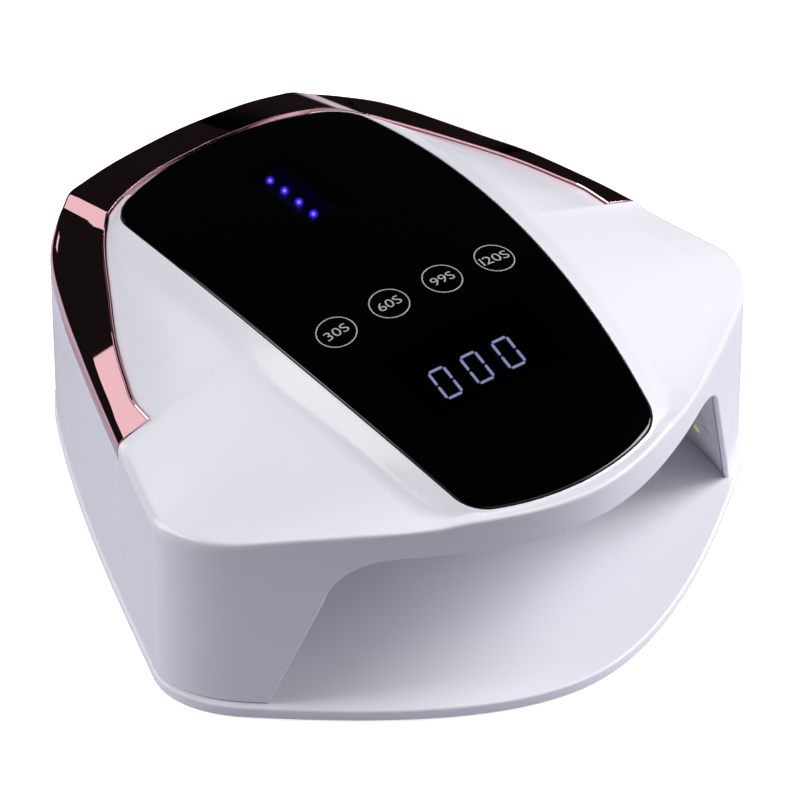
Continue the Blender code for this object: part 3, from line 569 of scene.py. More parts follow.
# ------------------------------------------------------------------ housing
def housing_section(st, base):
    """One closed column of the housing: up the wall, in along the roof and back inside."""
    out = np.array((*st["out"], 0.0))
    down = np.array((0.0, 0.0, -1.0))
    s = st["s"]
    skirt = st["corner"] + down * (TRIM_SKIRT + 0.4)
    sink = TRIM_SEAT if st["trimmed"] else 0.0
    inward = unit(np.array((*(st["panel"] - st["edge"])[:2], 0.0)))
    to_panel = unit(np.array((*(st["panel"] - st["corner"])[:2], 0.0)))
    ledge = st["panel"] + down * (PANEL_THICK + GAP)
    room = float(np.hypot(*(st["edge"] - st["panel"])[:2]))
    corner, _ = sunk_corner(st, sink)
    section = list(base)
    notch = 0.25 if st["trimmed"] else 0.0
    section += [skirt + down * 0.5, skirt + down * 0.12 - out * notch * 0.12,
                skirt - out * notch, skirt - out * sink - down * 0.02]
    lip = st["panel"] - to_panel * GAP
    if st["trimmed"]:
        rim = st["edge"] + down * (sink + 0.6)
        section += bend(skirt - out * sink, corner, rim, 2.0, 8)
        if room < NARROW_LEDGE:
            flat = ledge - inward * 0.4
            section += [rim - inward * 0.6, rim - inward * 0.5, rim - inward * 0.4]
            section += bend(rim, flat + inward * 0.001 + down * 0.001, ledge, 0.05, 6)
            section += [ledge - inward * 0.12 * k for k in (1.0, 0.8, 0.6, 0.4, 0.2)]
            section += [ledge]
        else:
            start = st["edge"] + inward * (GAP + 0.3) + down * 0.6
            crease = crease_or_sliver(st, inward)
            section += [rim + inward * GAP, start + down * 0.35, start + inward * 0.35]
            section += bend(start, crease, lip, 3.0, 6)
            section += lip_round(crease, lip)
            section += [ledge - to_panel * GAP]
    else:
        section += bend(skirt - out * sink, corner, st["edge"], SHOULDER_ROUND, 8)
        step = st["crease"] - st["edge"]
        section += [st["edge"] - step * 0.02, st["edge"], st["edge"] + step * 0.02]
        section += bend(st["edge"], st["crease"], lip, 3.0, 6)
        section += lip_round(st["crease"], lip)
        section += [ledge - to_panel * GAP]
    inner_lip = PANEL.outward(st["run"])
    tip = st["panel"][:2] - inner_lip * LEDGE_WIDTH
    tip_z = roof_height(*tip) - PANEL_THICK - GAP
    section += [np.array((*tip, tip_z)), np.array((*tip, tip_z - WALL)),
                ledge + down * (WALL + 0.5) - inward * 0.3,
                st["edge"] + down * (TRIM_SEAT + 3.2) - inward * 0.4]
    deep, roof_in = sunk_corner(st, TRIM_SEAT + 2.4)
    thick = wall_thickness(s) if s > OPENING_END else FRONT_WALL
    section += [deep + roof_in * 2.0 - out * (thick - WALL)]
    top = deep[2] - 6.0
    low = base[0][2]
    inside = on_wall(s, max(top, low + 1.5), SHOULDER_INSIDE)
    section += [inside, on_wall(s, max(top - 9.0, low + 0.8), thick)]
    return section


def lip_round(before, lip):
    """The crisp but rounded lip against the panel."""
    slope = unit(before - lip)
    points = []
    start, end = lip + slope * 0.6, lip - np.array((0.0, 0.0, 0.5))
    for t in np.linspace(0, 1, 5):
        u = 1 - t
        points.append(u * u * start + 2 * u * t * lip + t * t * end)
    return points


def crease_or_sliver(st, inward):
    """The band's crease, or a point near the trim where there is no room for it."""
    room = float(np.hypot(*(st["edge"] - st["panel"])[:2]))
    reach = float(np.hypot(*(st["crease"] - st["panel"])[:2]))
    if reach < room - 2.0:
        return st["crease"]
    near = st["edge"] + inward * (GAP + 0.9)
    mixed = near * 0.65 + st["panel"] * 0.35
    share = ramp(reach, room - 3.0, room - 1.0)
    return st["crease"] * (1 - share) + mixed * share


def housing_columns():
    """(distance, opening parameter or None) for each column, nose to back."""
    columns = [(0.0, 0.0)]
    for t in np.concatenate([np.linspace(0, 60, 42)[1:], np.linspace(60, ARCH_TRACK.length, 110)[1:]]):
        columns.append((face_run(arch_point(t, RIM_ROUND)[0]), t))
    start = columns[-1][0]
    marks = list(np.linspace(start, TRIM_START - 2.5 * GAP, 62)[1:])
    marks += [TRIM_START - 1.5 * GAP]
    marks += list(np.linspace(TRIM_START, CHAMFER_FROM, 80))
    marks += list(np.linspace(CHAMFER_FROM, CHAMFER_TO, 14)[1:])
    marks += list(np.linspace(CHAMFER_TO, TRAY.length, 40)[1:])
    marks += [CHAMFER_FROM - 0.3, CHAMFER_FROM + 0.3, CHAMFER_TO - 0.3, CHAMFER_TO + 0.3]
    return columns + [(s, None) for s in sorted(marks)]


def make_housing(mat):
    """The white shell, with its holes for the inlet and the switch."""
    right = []
    for s, t in housing_columns():
        base = foot_points(s) if t is None else rim_points(t)
        right.append(housing_section(station(s), base))
    made = lofted("housing_skin", both_sides(right), [mat])
    inlet, switch = centre_of("charging_inlet"), centre_of("switch_frame")
    cut(made, turned("hole", INLET_HOLE, (inlet.x, INLET_HOLE_Y, inlet.z), [], along_y=True))
    cut(made, block("hole", SWITCH_HOLE, (switch.x, SWITCH_HOLE_Y, switch.z), [], bevel=0.8))
    return made


# ------------------------------------------------------------------ trim
def trim_section(st):
    """One closed section of the trim: up its skirt, in to its stepped edge and back below."""
    out = np.array((*st["out"], 0.0))
    down = np.array((0.0, 0.0, -1.0))
    skirt = st["corner"] + down * TRIM_SKIRT
    corner, inward = sunk_corner(st, 0.0)
    edge = st["edge"]
    span = math.sqrt(float((edge - corner) @ (edge - corner)))
    on_arm = 1.0 - ramp(st["s"], CHAMFER_FROM - 14, CHAMFER_FROM - 1)
    step = TRIM_STEP * on_arm
    outer_round = TRIM_ROUND_BACK + (TRIM_ROUND_ARM - TRIM_ROUND_BACK) * on_arm
    groove = edge - inward * min(TRIM_BAND, span * 0.3)
    section = [skirt - out * 0.35, skirt - out * 0.1 - down * 0.1, skirt - down * 0.4]
    section += bend(skirt, corner, groove, outer_round, 7)
    section += [groove - inward * 0.25, groove + down * 0.28 * step,
                groove + inward * 0.2 + down * 0.3 * step,
                groove + inward * 0.4 - down * 0.12 * step,
                edge - inward * 0.42 - down * 0.2 * step,
                edge - inward * (0.15 + 0.2 * (1 - step)) - down * 0.05 * step,
                edge + down * (0.35 - 0.1 * (1 - step)), edge + down * TRIM_THICK]
    inner, _ = sunk_corner(st, TRIM_THICK)
    section += bend(edge + down * TRIM_THICK, inner, skirt - out * TRIM_THICK, 1.2, 3)
    return section + [skirt - out * TRIM_THICK]


def make_trim(mat):
    """The plated trim round the rear of the roof, with its two cut ends softened."""
    runs = [s for s, t in housing_columns() if t is None and s >= TRIM_START]
    sections = [trim_section(station(s)) for s in runs]
    for point in sections[-1]:
        point[0] = 0.0
    whole = sections + [mirrored(section) for section in sections[-2::-1]]
    made = lofted("trim_skin", whole, [mat], ring=False, capped=True, smooth_angle=24)
    edge = made.modifiers.new("ends", 'BEVEL')
    edge.width = 0.25 * MM
    edge.segments = 2
    edge.limit_method = 'ANGLE'
    edge.angle_limit = math.radians(60)
    result = settled_mesh(made)
    made.modifiers.remove(edge)
    made.data = result
    return made


# ------------------------------------------------------------------ panel
def inside_window(x, y, window):
    return window[0] < x < window[1] and window[2] < y < window[3]


def make_panel(mat, clear):
    """The black panel on the roof's curve, with clear windows over its lights."""
    runs = np.linspace(0, PANEL.length, 150)
    right = [(PANEL.at(s), PANEL.outward(s)) for s in runs]
    right[0][0][0] = 0.0
    right[-1][0][0] = 0.0
    ring = right + [(np.array((-p[0], p[1])), np.array((-n[0], n[1]))) for p, n in right[-2:0:-1]]
    middle = np.array((0.0, (PANEL_FRONT[0] + PANEL_BACK[0]) / 2))
    scales = [0.965, 0.93, 0.88] + list(np.linspace(0.84, 0.03, 30))
    bm = bmesh.new()
    outer_rows = []
    for edge, drop in ((PANEL_EDGE, 0.0), (PANEL_UNDER_EDGE, -PANEL_THICK)):
        plan = [[(*(p - n * inset), height) for p, n in ring] for inset, height in edge]
        plan += [[(*(middle + (p - middle) * scale), drop) for p, _ in ring] for scale in scales]
        rows = [vert_row(bm, [(x, y, roof_height(x, y) + dz) for x, y, dz in row]) for row in plan]
        hub = bm.verts.new((0, middle[1] * MM, (roof_height(*middle) + drop) * MM))
        for a, b in zip(rows, rows[1:]):
            bridge(bm, a, b)
        for a, b in zip(rows[-1], rows[-1][1:] + rows[-1][:1]):
            bm.faces.new((a, b, hub))
        outer_rows.append(rows[0])
    bridge(bm, *outer_rows)
    for x0, x1, y0, y1 in (DISPLAY_WINDOW, BATTERY_WINDOW):
        for place, facing in (((x0, 0, 0), (1, 0, 0)), ((x1, 0, 0), (1, 0, 0)),
                              ((0, y0, 0), (0, 1, 0)), ((0, y1, 0), (0, 1, 0))):
            bmesh.ops.bisect_plane(bm, geom=bm.verts[:] + bm.edges[:] + bm.faces[:],
                                   plane_co=[c * MM for c in place], plane_no=facing)
    for face in bm.faces:
        x, y, _ = face.calc_center_median() / MM
        if inside_window(x, y, DISPLAY_WINDOW) or inside_window(x, y, BATTERY_WINDOW):
            face.material_index = 1
    return piece_from("panel_skin", bm, [mat, clear], smooth_angle=60)


# ------------------------------------------------------------------ tray
def make_tray(mat):
    """The flat tray with its rounded edges."""
    runs = np.linspace(0, TRAY.length, 260)

    def ring_at(inset_front, inset_side, z):
        right = []
        for s in runs:
            share = ramp(TRAY.at(s)[1], -66, -44)
            p = TRAY.at(s) - TRAY.outward(s) * (inset_front + (inset_side - inset_front) * share)
            right.append(np.array((p[0], p[1], z)))
        right[0][0] = right[-1][0] = 0.0
        return right + mirrored(right[-2:0:-1])

    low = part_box("base_tray")[0].z / MM
    rings = [ring_at(1.6, 1.6, low), ring_at(1.0, 1.0, low), ring_at(0.6, 0.6, low + 0.08)]
    for angle in np.linspace(20, 90, 5):
        a = math.radians(angle)
        inset, rise = TRAY_FOOT_ROUND * (1 - math.sin(a)), TRAY_FOOT_ROUND * (1 - math.cos(a))
        rings.append(ring_at(inset, inset, low + rise))
    for angle in np.linspace(0, 90, 10):
        a = math.radians(angle)
        inward = 1 - math.cos(a)
        z = TRAY_TOP - TRAY_EDGE_FRONT + TRAY_EDGE_FRONT * math.sin(a)
        rings.append(ring_at(TRAY_EDGE_FRONT * inward, TRAY_EDGE_SIDE * inward, z))
    rings.append(ring_at(1.4, 1.2, TRAY_TOP))
    # Each ring of the flat top is a share of the ring before it.
    for share in (0.96, 0.85, 0.6, 0.3):
        rings.append([np.array((p[0] * share, p[1] * share, TRAY_TOP)) for p in rings[-1]])
    return lofted("tray_skin", rings, [mat], ring=False, capped=True)


# ------------------------------------------------------------------ reflector
def make_liner(mat):
    """The white tunnel behind the opening, a closed shell with a wall."""
    ts = np.concatenate([np.linspace(0, 60, 16), np.linspace(60, 82, 14)[1:],
                         np.linspace(82, ARCH_TRACK.length, 12)[1:]])
    depths = (None, -50.0, -20.0, 0.0, 20.0, 40.0, 54.0, 61.0, 65.5, 67.5)

    def section(margin, depth):
        """The tunnel's outline at a depth, or just behind the front wall for None."""
        right = []
        for t in ts:
            x, z = arch_point(t, margin)
            y = depth
            if depth is None:
                s = face_run(min(x, 97.0))
                x, y = on_wall(s, 0, FRONT_WALL + 0.4)[:2]
                if x < 0 or t == 0:
                    x = 0.0
            else:
                share = max(0.0, min(1.0, y / LINER_BACK_Y))
                x *= 1 + (LINER_BACK_SCALE - 1) * share
                pull = 10.0 * ramp(y, 52, 68) ** 1.5
                x -= pull * (x / 60.0)
                z -= pull * 0.8 * (z / 70.0) if z > 20 else 0.0
            right.append(np.array((x, y, max(z, TRAY_TOP + 0.35))))
        return mirrored(right[:0:-1]) + right

    inner = [section(LINER_MARGIN, depth) for depth in depths]
    outer = [section(LINER_MARGIN + LINER_WALL, depth) for depth in depths]
    for row in outer[-3:]:
        for p in row:
            p[1] += LINER_WALL
    bm = bmesh.new()
    rows_in = [vert_row(bm, row) for row in inner]
    rows_out = [vert_row(bm, row) for row in outer]
    for rows in (rows_in, rows_out):
        for a, b in zip(rows, rows[1:]):
            bridge(bm, a, b, closed=False)
    back_in = bm.faces.new(rows_in[-1])
    back_out = bm.faces.new(rows_out[-1])
    bridge(bm, rows_in[0], rows_out[0], closed=False)
    for k in (0, -1):
        bridge(bm, [row[k] for row in rows_in], [row[k] for row in rows_out], closed=False)
    bm.faces.new((rows_in[-1][0], rows_in[-1][-1], rows_out[-1][-1], rows_out[-1][0]))
    bmesh.ops.triangulate(bm, faces=[back_in, back_out])
    return piece_from("reflector_skin", bm, [mat], smooth_angle=40)


# ------------------------------------------------------------------ geometry nodes
def new_tree(name, inputs):
    """A geometry node tree with named size inputs."""
    tree = bpy.data.node_groups.new(name, 'GeometryNodeTree')
    tree.interface.new_socket("Geometry", in_out='INPUT', socket_type='NodeSocketGeometry')
    tree.interface.new_socket("Geometry", in_out='OUTPUT', socket_type='NodeSocketGeometry')
    for label, kind, value in inputs:
        socket = tree.interface.new_socket(label, in_out='INPUT', socket_type=kind)
        if value is not None:
            socket.default_value = value
    return tree


def feed(tree, socket, value):
    """Give a socket a plain value, or join another socket to it."""
    if isinstance(value, bpy.types.NodeSocket):
        tree.links.new(value, socket)
    else:
        socket.default_value = value


class Wiring:
    """Adds nodes to a tree and joins them in one call."""

    def __init__(self, tree):
        self.tree = tree
        self.start = tree.nodes.new('NodeGroupInput')
        self.end = tree.nodes.new('NodeGroupOutput')
        self.spot = 0

    def add(self, kind, inputs=(), **settings):
        node = self.tree.nodes.new(kind)
        self.spot += 1
        node.location = (180 * self.spot, -120 * (self.spot % 4))
        for key, value in settings.items():
            setattr(node, key, value)
        for key, value in dict(inputs).items():
            feed(self.tree, node.inputs[key], value)
        return node

    def math(self, operation, *values):
        node = self.tree.nodes.new('ShaderNodeMath')
        node.operation = operation
        for socket, value in zip(node.inputs, values):
            feed(self.tree, socket, value)
        return node.outputs[0]

    def stand_on_points(self, shape, mat):
        """One copy of a shape on every point, turned as the point's own angles say."""
        turn = self.add('GeometryNodeInputNamedAttribute', {"Name": "turn"},
                        data_type='FLOAT_VECTOR')
        rows = self.add('GeometryNodeInstanceOnPoints',
                        {"Points": self.start.outputs["Geometry"], "Instance": shape,
                         "Rotation": turn.outputs[0]})
        self.finish(rows.outputs[0], mat)

    def finish(self, geometry, mat):
        real = self.add('GeometryNodeRealizeInstances', {"Geometry": geometry})
        painted = self.add('GeometryNodeSetMaterial', {"Geometry": real.outputs[0]})
        painted.inputs["Material"].default_value = mat
        self.tree.links.new(painted.outputs[0], self.end.inputs[0])


def grown(name, tree, points=None, settings=None, rotations=None):
    """Run a tree on a few points and keep the plain mesh that it makes."""
    mesh = bpy.data.meshes.new(name)
    mesh.from_pydata([tuple(c * MM for c in p) for p in (points or [(0, 0, 0)])], [], [])
    if rotations is not None:
        turn = mesh.attributes.new("turn", 'FLOAT_VECTOR', 'POINT')
        turn.data.foreach_set("vector", [c for r in rotations for c in r])
    made = linked(name, mesh)
    step = made.modifiers.new("grow", 'NODES')
    step.node_group = tree
    known = {item.name: item.identifier for item in tree.interface.items_tree
             if item.item_type == 'SOCKET' and item.in_out == 'INPUT'}
    for label, value in (settings or {}).items():
        step[known[label]] = value
    made.update_tag()
    result = settled_mesh(made)
    made.modifiers.remove(step)
    made.data = result
    result.name = name
    shade_by_angle(result, 40)
    return made


def on_roof(wiring, geometry, lift):
    """Drop a flat pattern on to the roof's double curve."""
    place = wiring.add('GeometryNodeInputPosition')
    axes = wiring.add('ShaderNodeSeparateXYZ', {"Vector": place.outputs[0]})
    x, y, z = axes.outputs

    def fall(value, radius):
        square = wiring.math('MULTIPLY', value, value)
        inside = wiring.math('SUBTRACT', (radius * MM) ** 2, square)
        return wiring.math('SUBTRACT', radius * MM, wiring.math('SQRT', inside))

    lengthwise = fall(wiring.math('SUBTRACT', y, ROOF_TOP_Y * MM), ROOF_ARC)
    across = fall(x, ROOF_CROWN)
    height = wiring.math('SUBTRACT', wiring.math('SUBTRACT', ROOF_TOP * MM, lengthwise), across)
    height = wiring.math('ADD', wiring.math('ADD', height, lift), z)
    joined = wiring.add('ShaderNodeCombineXYZ', {"X": x, "Y": y, "Z": height})
    return wiring.add('GeometryNodeSetPosition',
                      {"Geometry": geometry, "Position": joined.outputs[0]}).outputs[0]


def ring_tree(mat):
    """Printed rings: a thin flat ring on every point, laid on the roof."""
    tree = new_tree("button_rings", [("Radius", 'NodeSocketFloat', 0.0065),
                                     ("Line", 'NodeSocketFloat', 0.0002),
                                     ("Lift", 'NodeSocketFloat', 0.00002)])
    w = Wiring(tree)
    circle = w.add('GeometryNodeCurvePrimitiveCircle',
                   {"Resolution": 96, "Radius": w.start.outputs["Radius"]})
    thread = w.add('GeometryNodeCurvePrimitiveCircle',
                   {"Resolution": 8, "Radius": w.start.outputs["Line"]})
    tube = w.add('GeometryNodeCurveToMesh',
                 {"Curve": circle.outputs[0], "Profile Curve": thread.outputs[0]})
    flat = w.add('GeometryNodeTransform', {"Geometry": tube.outputs[0], "Scale": (1, 1, 0.35)})
    rows = w.add('GeometryNodeInstanceOnPoints',
                 {"Points": w.start.outputs["Geometry"], "Instance": flat.outputs[0]})
    real = w.add('GeometryNodeRealizeInstances', {"Geometry": rows.outputs[0]})
    w.finish(on_roof(w, real.outputs[0], w.start.outputs["Lift"]), mat)
    return tree


def bar_tree(mat):
    """Display segments: one pointed bar stood on every point, turned as it says."""
    tree = new_tree("display_segments", [("Length", 'NodeSocketFloat', 0.0046),
                                         ("Width", 'NodeSocketFloat', 0.0010),
                                         ("Depth", 'NodeSocketFloat', 0.0002)])
    w = Wiring(tree)
    shape = w.add('GeometryNodeMeshCylinder',
                  {"Vertices": 6, "Radius": 0.5, "Depth": w.start.outputs["Depth"]})
    place = w.add('GeometryNodeInputPosition')
    axes = w.add('ShaderNodeSeparateXYZ', {"Vector": place.outputs[0]})
    x, y, z = axes.outputs
    tip = w.math('MULTIPLY', w.start.outputs["Width"], 0.45)
    straight = w.math('SUBTRACT', w.math('MULTIPLY', w.start.outputs["Length"], 0.5), tip)
    side = w.math('MULTIPLY', w.math('SIGN', x), straight)
    nose = w.math('MULTIPLY', w.math('MULTIPLY', x, 2.0), tip)
    mostly = w.math('GREATER_THAN', w.math('ABSOLUTE', x), 0.4)
    reach = w.math('ADD', side, w.math('MULTIPLY', nose, mostly))
    across = w.math('MULTIPLY', w.math('MULTIPLY', y, 1.1547), w.start.outputs["Width"])
    joined = w.add('ShaderNodeCombineXYZ', {"X": reach, "Y": across, "Z": z})
    bar = w.add('GeometryNodeSetPosition',
                {"Geometry": shape.outputs[0], "Position": joined.outputs[0]})
    w.stand_on_points(bar.outputs[0], mat)
    return tree


def bead_tree(mat, name):
    """A row of small domed beads, one on every point."""
    tree = new_tree(name, [("Radius", 'NodeSocketFloat', 0.0012),
                           ("Rise", 'NodeSocketFloat', 0.3)])
    w = Wiring(tree)
    ball = w.add('GeometryNodeMeshUVSphere',
                 {"Segments": 24, "Rings": 12, "Radius": w.start.outputs["Radius"]})
    squash = w.add('ShaderNodeCombineXYZ', {"X": 1.0, "Y": 1.0, "Z": w.start.outputs["Rise"]})
    dome = w.add('GeometryNodeTransform',
                 {"Geometry": ball.outputs[0], "Scale": squash.outputs[0]})
    w.stand_on_points(dome.outputs[0], mat)
    return tree


def cup_tree(mat):
    """A reflector cup: a ring with a soft lip, one on every point."""
    tree = new_tree("led_cups", [("Radius", 'NodeSocketFloat', 0.0031),
                                 ("Lip", 'NodeSocketFloat', 0.00045)])
    w = Wiring(tree)
    circle = w.add('GeometryNodeCurvePrimitiveCircle',
                   {"Resolution": 40, "Radius": w.start.outputs["Radius"]})
    lip = w.add('GeometryNodeCurvePrimitiveCircle',
                {"Resolution": 10, "Radius": w.start.outputs["Lip"]})
    tube = w.add('GeometryNodeCurveToMesh',
                 {"Curve": circle.outputs[0], "Profile Curve": lip.outputs[0]})
    w.stand_on_points(tube.outputs[0], mat)
    return tree


# ------------------------------------------------------------------ shader groups
def shader_group(name, inputs, outputs):
    tree = bpy.data.node_groups.new(name, 'ShaderNodeTree')
    for label, kind, value in inputs:
        socket = tree.interface.new_socket(label, in_out='INPUT', socket_type=kind)
        socket.default_value = value
    for label, kind in outputs:
        tree.interface.new_socket(label, in_out='OUTPUT', socket_type=kind)
    return tree, Wiring(tree)


def colour_mix(tree, factor, first, second):
    """A colour between two others, each a plain colour or a socket."""
    node = tree.nodes.new('ShaderNodeMix')
    node.data_type = 'RGBA'
    tree.links.new(factor, node.inputs["Factor"])
    for socket, value in ((node.inputs[6], first), (node.inputs[7], second)):
        feed(tree, socket, value if isinstance(value, bpy.types.NodeSocket) else (*value, 1))
    return node.outputs[2]


def add_bump(tree, shader, height, strength, distance):
    bump = tree.nodes.new('ShaderNodeBump')
    bump.inputs["Strength"].default_value = strength
    bump.inputs["Distance"].default_value = distance
    tree.links.new(height, bump.inputs["Height"])
    tree.links.new(bump.outputs[0], shader.inputs["Normal"])


def moulding_group():
    """Moulded plastic: a slow tone drift, fine grain in the gloss, faint ripple."""
    tree, w = shader_group("moulded_surface", [
        ("Colour", 'NodeSocketColor', (0.8, 0.8, 0.8, 1)), ("Drift", 'NodeSocketFloat', 0.02),
        ("Drift Scale", 'NodeSocketFloat', 14.0), ("Gloss", 'NodeSocketFloat', 0.2),
        ("Gloss Spread", 'NodeSocketFloat', 0.04), ("Grain Scale", 'NodeSocketFloat', 900.0)],
        [("Colour", 'NodeSocketColor'), ("Roughness", 'NodeSocketFloat'),
         ("Height", 'NodeSocketFloat')])
    place = w.add('ShaderNodeTexCoord').outputs["Object"]
    slow = w.add('ShaderNodeTexNoise', {"Vector": place, "Scale": w.start.outputs["Drift Scale"],
                                        "Detail": 2.0})
    fine = w.add('ShaderNodeTexNoise', {"Vector": place, "Scale": w.start.outputs["Grain Scale"],
                                        "Detail": 3.0})
    peel = w.add('ShaderNodeTexNoise', {"Vector": place, "Scale": 160.0, "Detail": 1.0})
    swing = w.math('MULTIPLY', w.math('SUBTRACT', slow.outputs[0], 0.5), w.start.outputs["Drift"])
    tone = w.math('ADD', 1.0, swing)
    shade = w.add('ShaderNodeVectorMath', operation='SCALE')
    tree.links.new(w.start.outputs["Colour"], shade.inputs[0])
    tree.links.new(tone, shade.inputs["Scale"])
    tree.links.new(shade.outputs[0], w.end.inputs["Colour"])
    both = w.math('ADD', w.math('MULTIPLY', slow.outputs[0], 0.5),
                  w.math('MULTIPLY', fine.outputs[0], 0.5))
    spread = w.math('MULTIPLY', w.math('SUBTRACT', both, 0.5), w.start.outputs["Gloss Spread"])
    tree.links.new(w.math('ADD', w.start.outputs["Gloss"], spread), w.end.inputs["Roughness"])
    height = w.math('ADD', w.math('MULTIPLY', peel.outputs[0], 0.7),
                    w.math('MULTIPLY', fine.outputs[0], 0.3))
    tree.links.new(height, w.end.inputs["Height"])
    return tree


def dust_group():
    """Fine dust that settles on faces turned up."""
    tree, w = shader_group("settled_dust", [
        ("Amount", 'NodeSocketFloat', 0.1), ("Scale", 'NodeSocketFloat', 1400.0)],
        [("Mask", 'NodeSocketFloat')])
    place = w.add('ShaderNodeTexCoord')
    axes = w.add('ShaderNodeSeparateXYZ', {"Vector": place.outputs["Normal"]})
    specks = w.add('ShaderNodeTexNoise', {"Vector": place.outputs["Object"],
                                          "Scale": w.start.outputs["Scale"], "Detail": 4.0,
                                          "Roughness": 0.7})
    patch = w.add('ShaderNodeTexNoise', {"Vector": place.outputs["Object"], "Scale": 20.0})
    up = w.math('MAXIMUM', axes.outputs[2], 0.0)
    grains = w.math('MULTIPLY', w.math('GREATER_THAN', specks.outputs[0], 0.66), patch.outputs[0])
    tree.links.new(w.math('MULTIPLY', w.math('MULTIPLY', grains, up), w.start.outputs["Amount"]),
                   w.end.inputs["Mask"])
    return tree


def plating_group():
    """Mirror plating: tone that warms in patches, polish haze and a faint waviness."""
    tree, w = shader_group("plated_surface", [
        ("Light Tone", 'NodeSocketColor', (0.9, 0.6, 0.6, 1)),
        ("Deep Tone", 'NodeSocketColor', (0.8, 0.45, 0.45, 1)),
        ("Polish", 'NodeSocketFloat', 0.05)],
        [("Colour", 'NodeSocketColor'), ("Roughness", 'NodeSocketFloat'),
         ("Height", 'NodeSocketFloat')])
    place = w.add('ShaderNodeTexCoord').outputs["Object"]
    patch = w.add('ShaderNodeTexNoise', {"Vector": place, "Scale": 22.0, "Detail": 3.0})
    haze = w.add('ShaderNodeTexNoise', {"Vector": place, "Scale": 260.0, "Detail": 4.0})
    tone = colour_mix(tree, patch.outputs[0], w.start.outputs["Deep Tone"],
                      w.start.outputs["Light Tone"])
    tree.links.new(tone, w.end.inputs["Colour"])
    rough = w.math('ADD', w.start.outputs["Polish"],
                   w.math('MULTIPLY', w.math('SUBTRACT', haze.outputs[0], 0.5), 0.03))
    tree.links.new(w.math('MAXIMUM', rough, 0.01), w.end.inputs["Roughness"])
    tree.links.new(patch.outputs[0], w.end.inputs["Height"])
    return tree


MOULDING, DUST, PLATING = moulding_group(), dust_group(), plating_group()
DUST_COLOUR = (0.62, 0.61, 0.60)
COAT_ROUGHNESS = 0.09


def base_material(name):
    mat = bpy.data.materials.new(name)
    mat.use_nodes = True
    tree = mat.node_tree
    return mat, tree, tree.nodes["Principled BSDF"]


def place_group(tree, group, values):
    node = tree.nodes.new('ShaderNodeGroup')
    node.node_tree = group
    for label, value in values.items():
        node.inputs[label].default_value = value
    return node


def moulded(name, colour, gloss, spread=0.04, drift=0.02, ripple=0.02, dust=0.05, coat=0.0,
            grain=900.0, metallic=0.0):
    """Plastic, rubber or board: the moulding group with dust and a bump."""
    mat, tree, shader = base_material(name)
    skin = place_group(tree, MOULDING, {"Colour": (*colour, 1), "Gloss": gloss, "Drift": drift,
                                        "Gloss Spread": spread, "Grain Scale": grain})
    specks = place_group(tree, DUST, {"Amount": dust})
    powdered = colour_mix(tree, specks.outputs["Mask"], skin.outputs["Colour"], DUST_COLOUR)
    tree.links.new(powdered, shader.inputs["Base Color"])
    dulled = tree.nodes.new('ShaderNodeMath')
    dulled.operation = 'ADD'
    tree.links.new(skin.outputs["Roughness"], dulled.inputs[0])
    tree.links.new(specks.outputs["Mask"], dulled.inputs[1])
    tree.links.new(dulled.outputs[0], shader.inputs["Roughness"])
    add_bump(tree, shader, skin.outputs["Height"], ripple, 0.0002)
    shader.inputs["Metallic"].default_value = metallic
    shader.inputs["Coat Weight"].default_value = coat
    shader.inputs["Coat Roughness"].default_value = COAT_ROUGHNESS
    return mat


def plated(name, light, deep, polish):
    """Bright plating between a light and a deeper tone."""
    mat, tree, shader = base_material(name)
    skin = place_group(tree, PLATING, {"Light Tone": (*light, 1), "Deep Tone": (*deep, 1),
                                       "Polish": polish})
    tree.links.new(skin.outputs["Colour"], shader.inputs["Base Color"])
    tree.links.new(skin.outputs["Roughness"], shader.inputs["Roughness"])
    add_bump(tree, shader, skin.outputs["Height"], 0.02, 0.0005)
    shader.inputs["Metallic"].default_value = 1.0
    return mat


def smoked(name):
    """Clear dark acrylic over the display and the battery lights."""
    mat, tree, shader = base_material(name)
    skin = place_group(tree, MOULDING, {"Colour": (0.02, 0.02, 0.022, 1), "Gloss": 0.05,
                                        "Drift": 0.02, "Gloss Spread": 0.02})
    tree.links.new(skin.outputs["Colour"], shader.inputs["Base Color"])
    tree.links.new(skin.outputs["Roughness"], shader.inputs["Roughness"])
    shader.inputs["Transmission Weight"].default_value = 1.0
    shader.inputs["IOR"].default_value = 1.5
    return mat


def glowing(name, colour, edge, strength, scale=900.0):
    """A lit face, brighter in the middle of each patch than at its edge."""
    mat, tree, shader = base_material(name)
    place = tree.nodes.new('ShaderNodeTexCoord')
    cloud = tree.nodes.new('ShaderNodeTexNoise')
    cloud.inputs["Scale"].default_value = scale
    tree.links.new(place.outputs["Object"], cloud.inputs["Vector"])
    lit = colour_mix(tree, cloud.outputs[0], edge, colour)
    tree.links.new(lit, shader.inputs["Emission Color"])
    tree.links.new(lit, shader.inputs["Base Color"])
    shader.inputs["Emission Strength"].default_value = strength
    shader.inputs["Roughness"].default_value = 0.4
    return mat


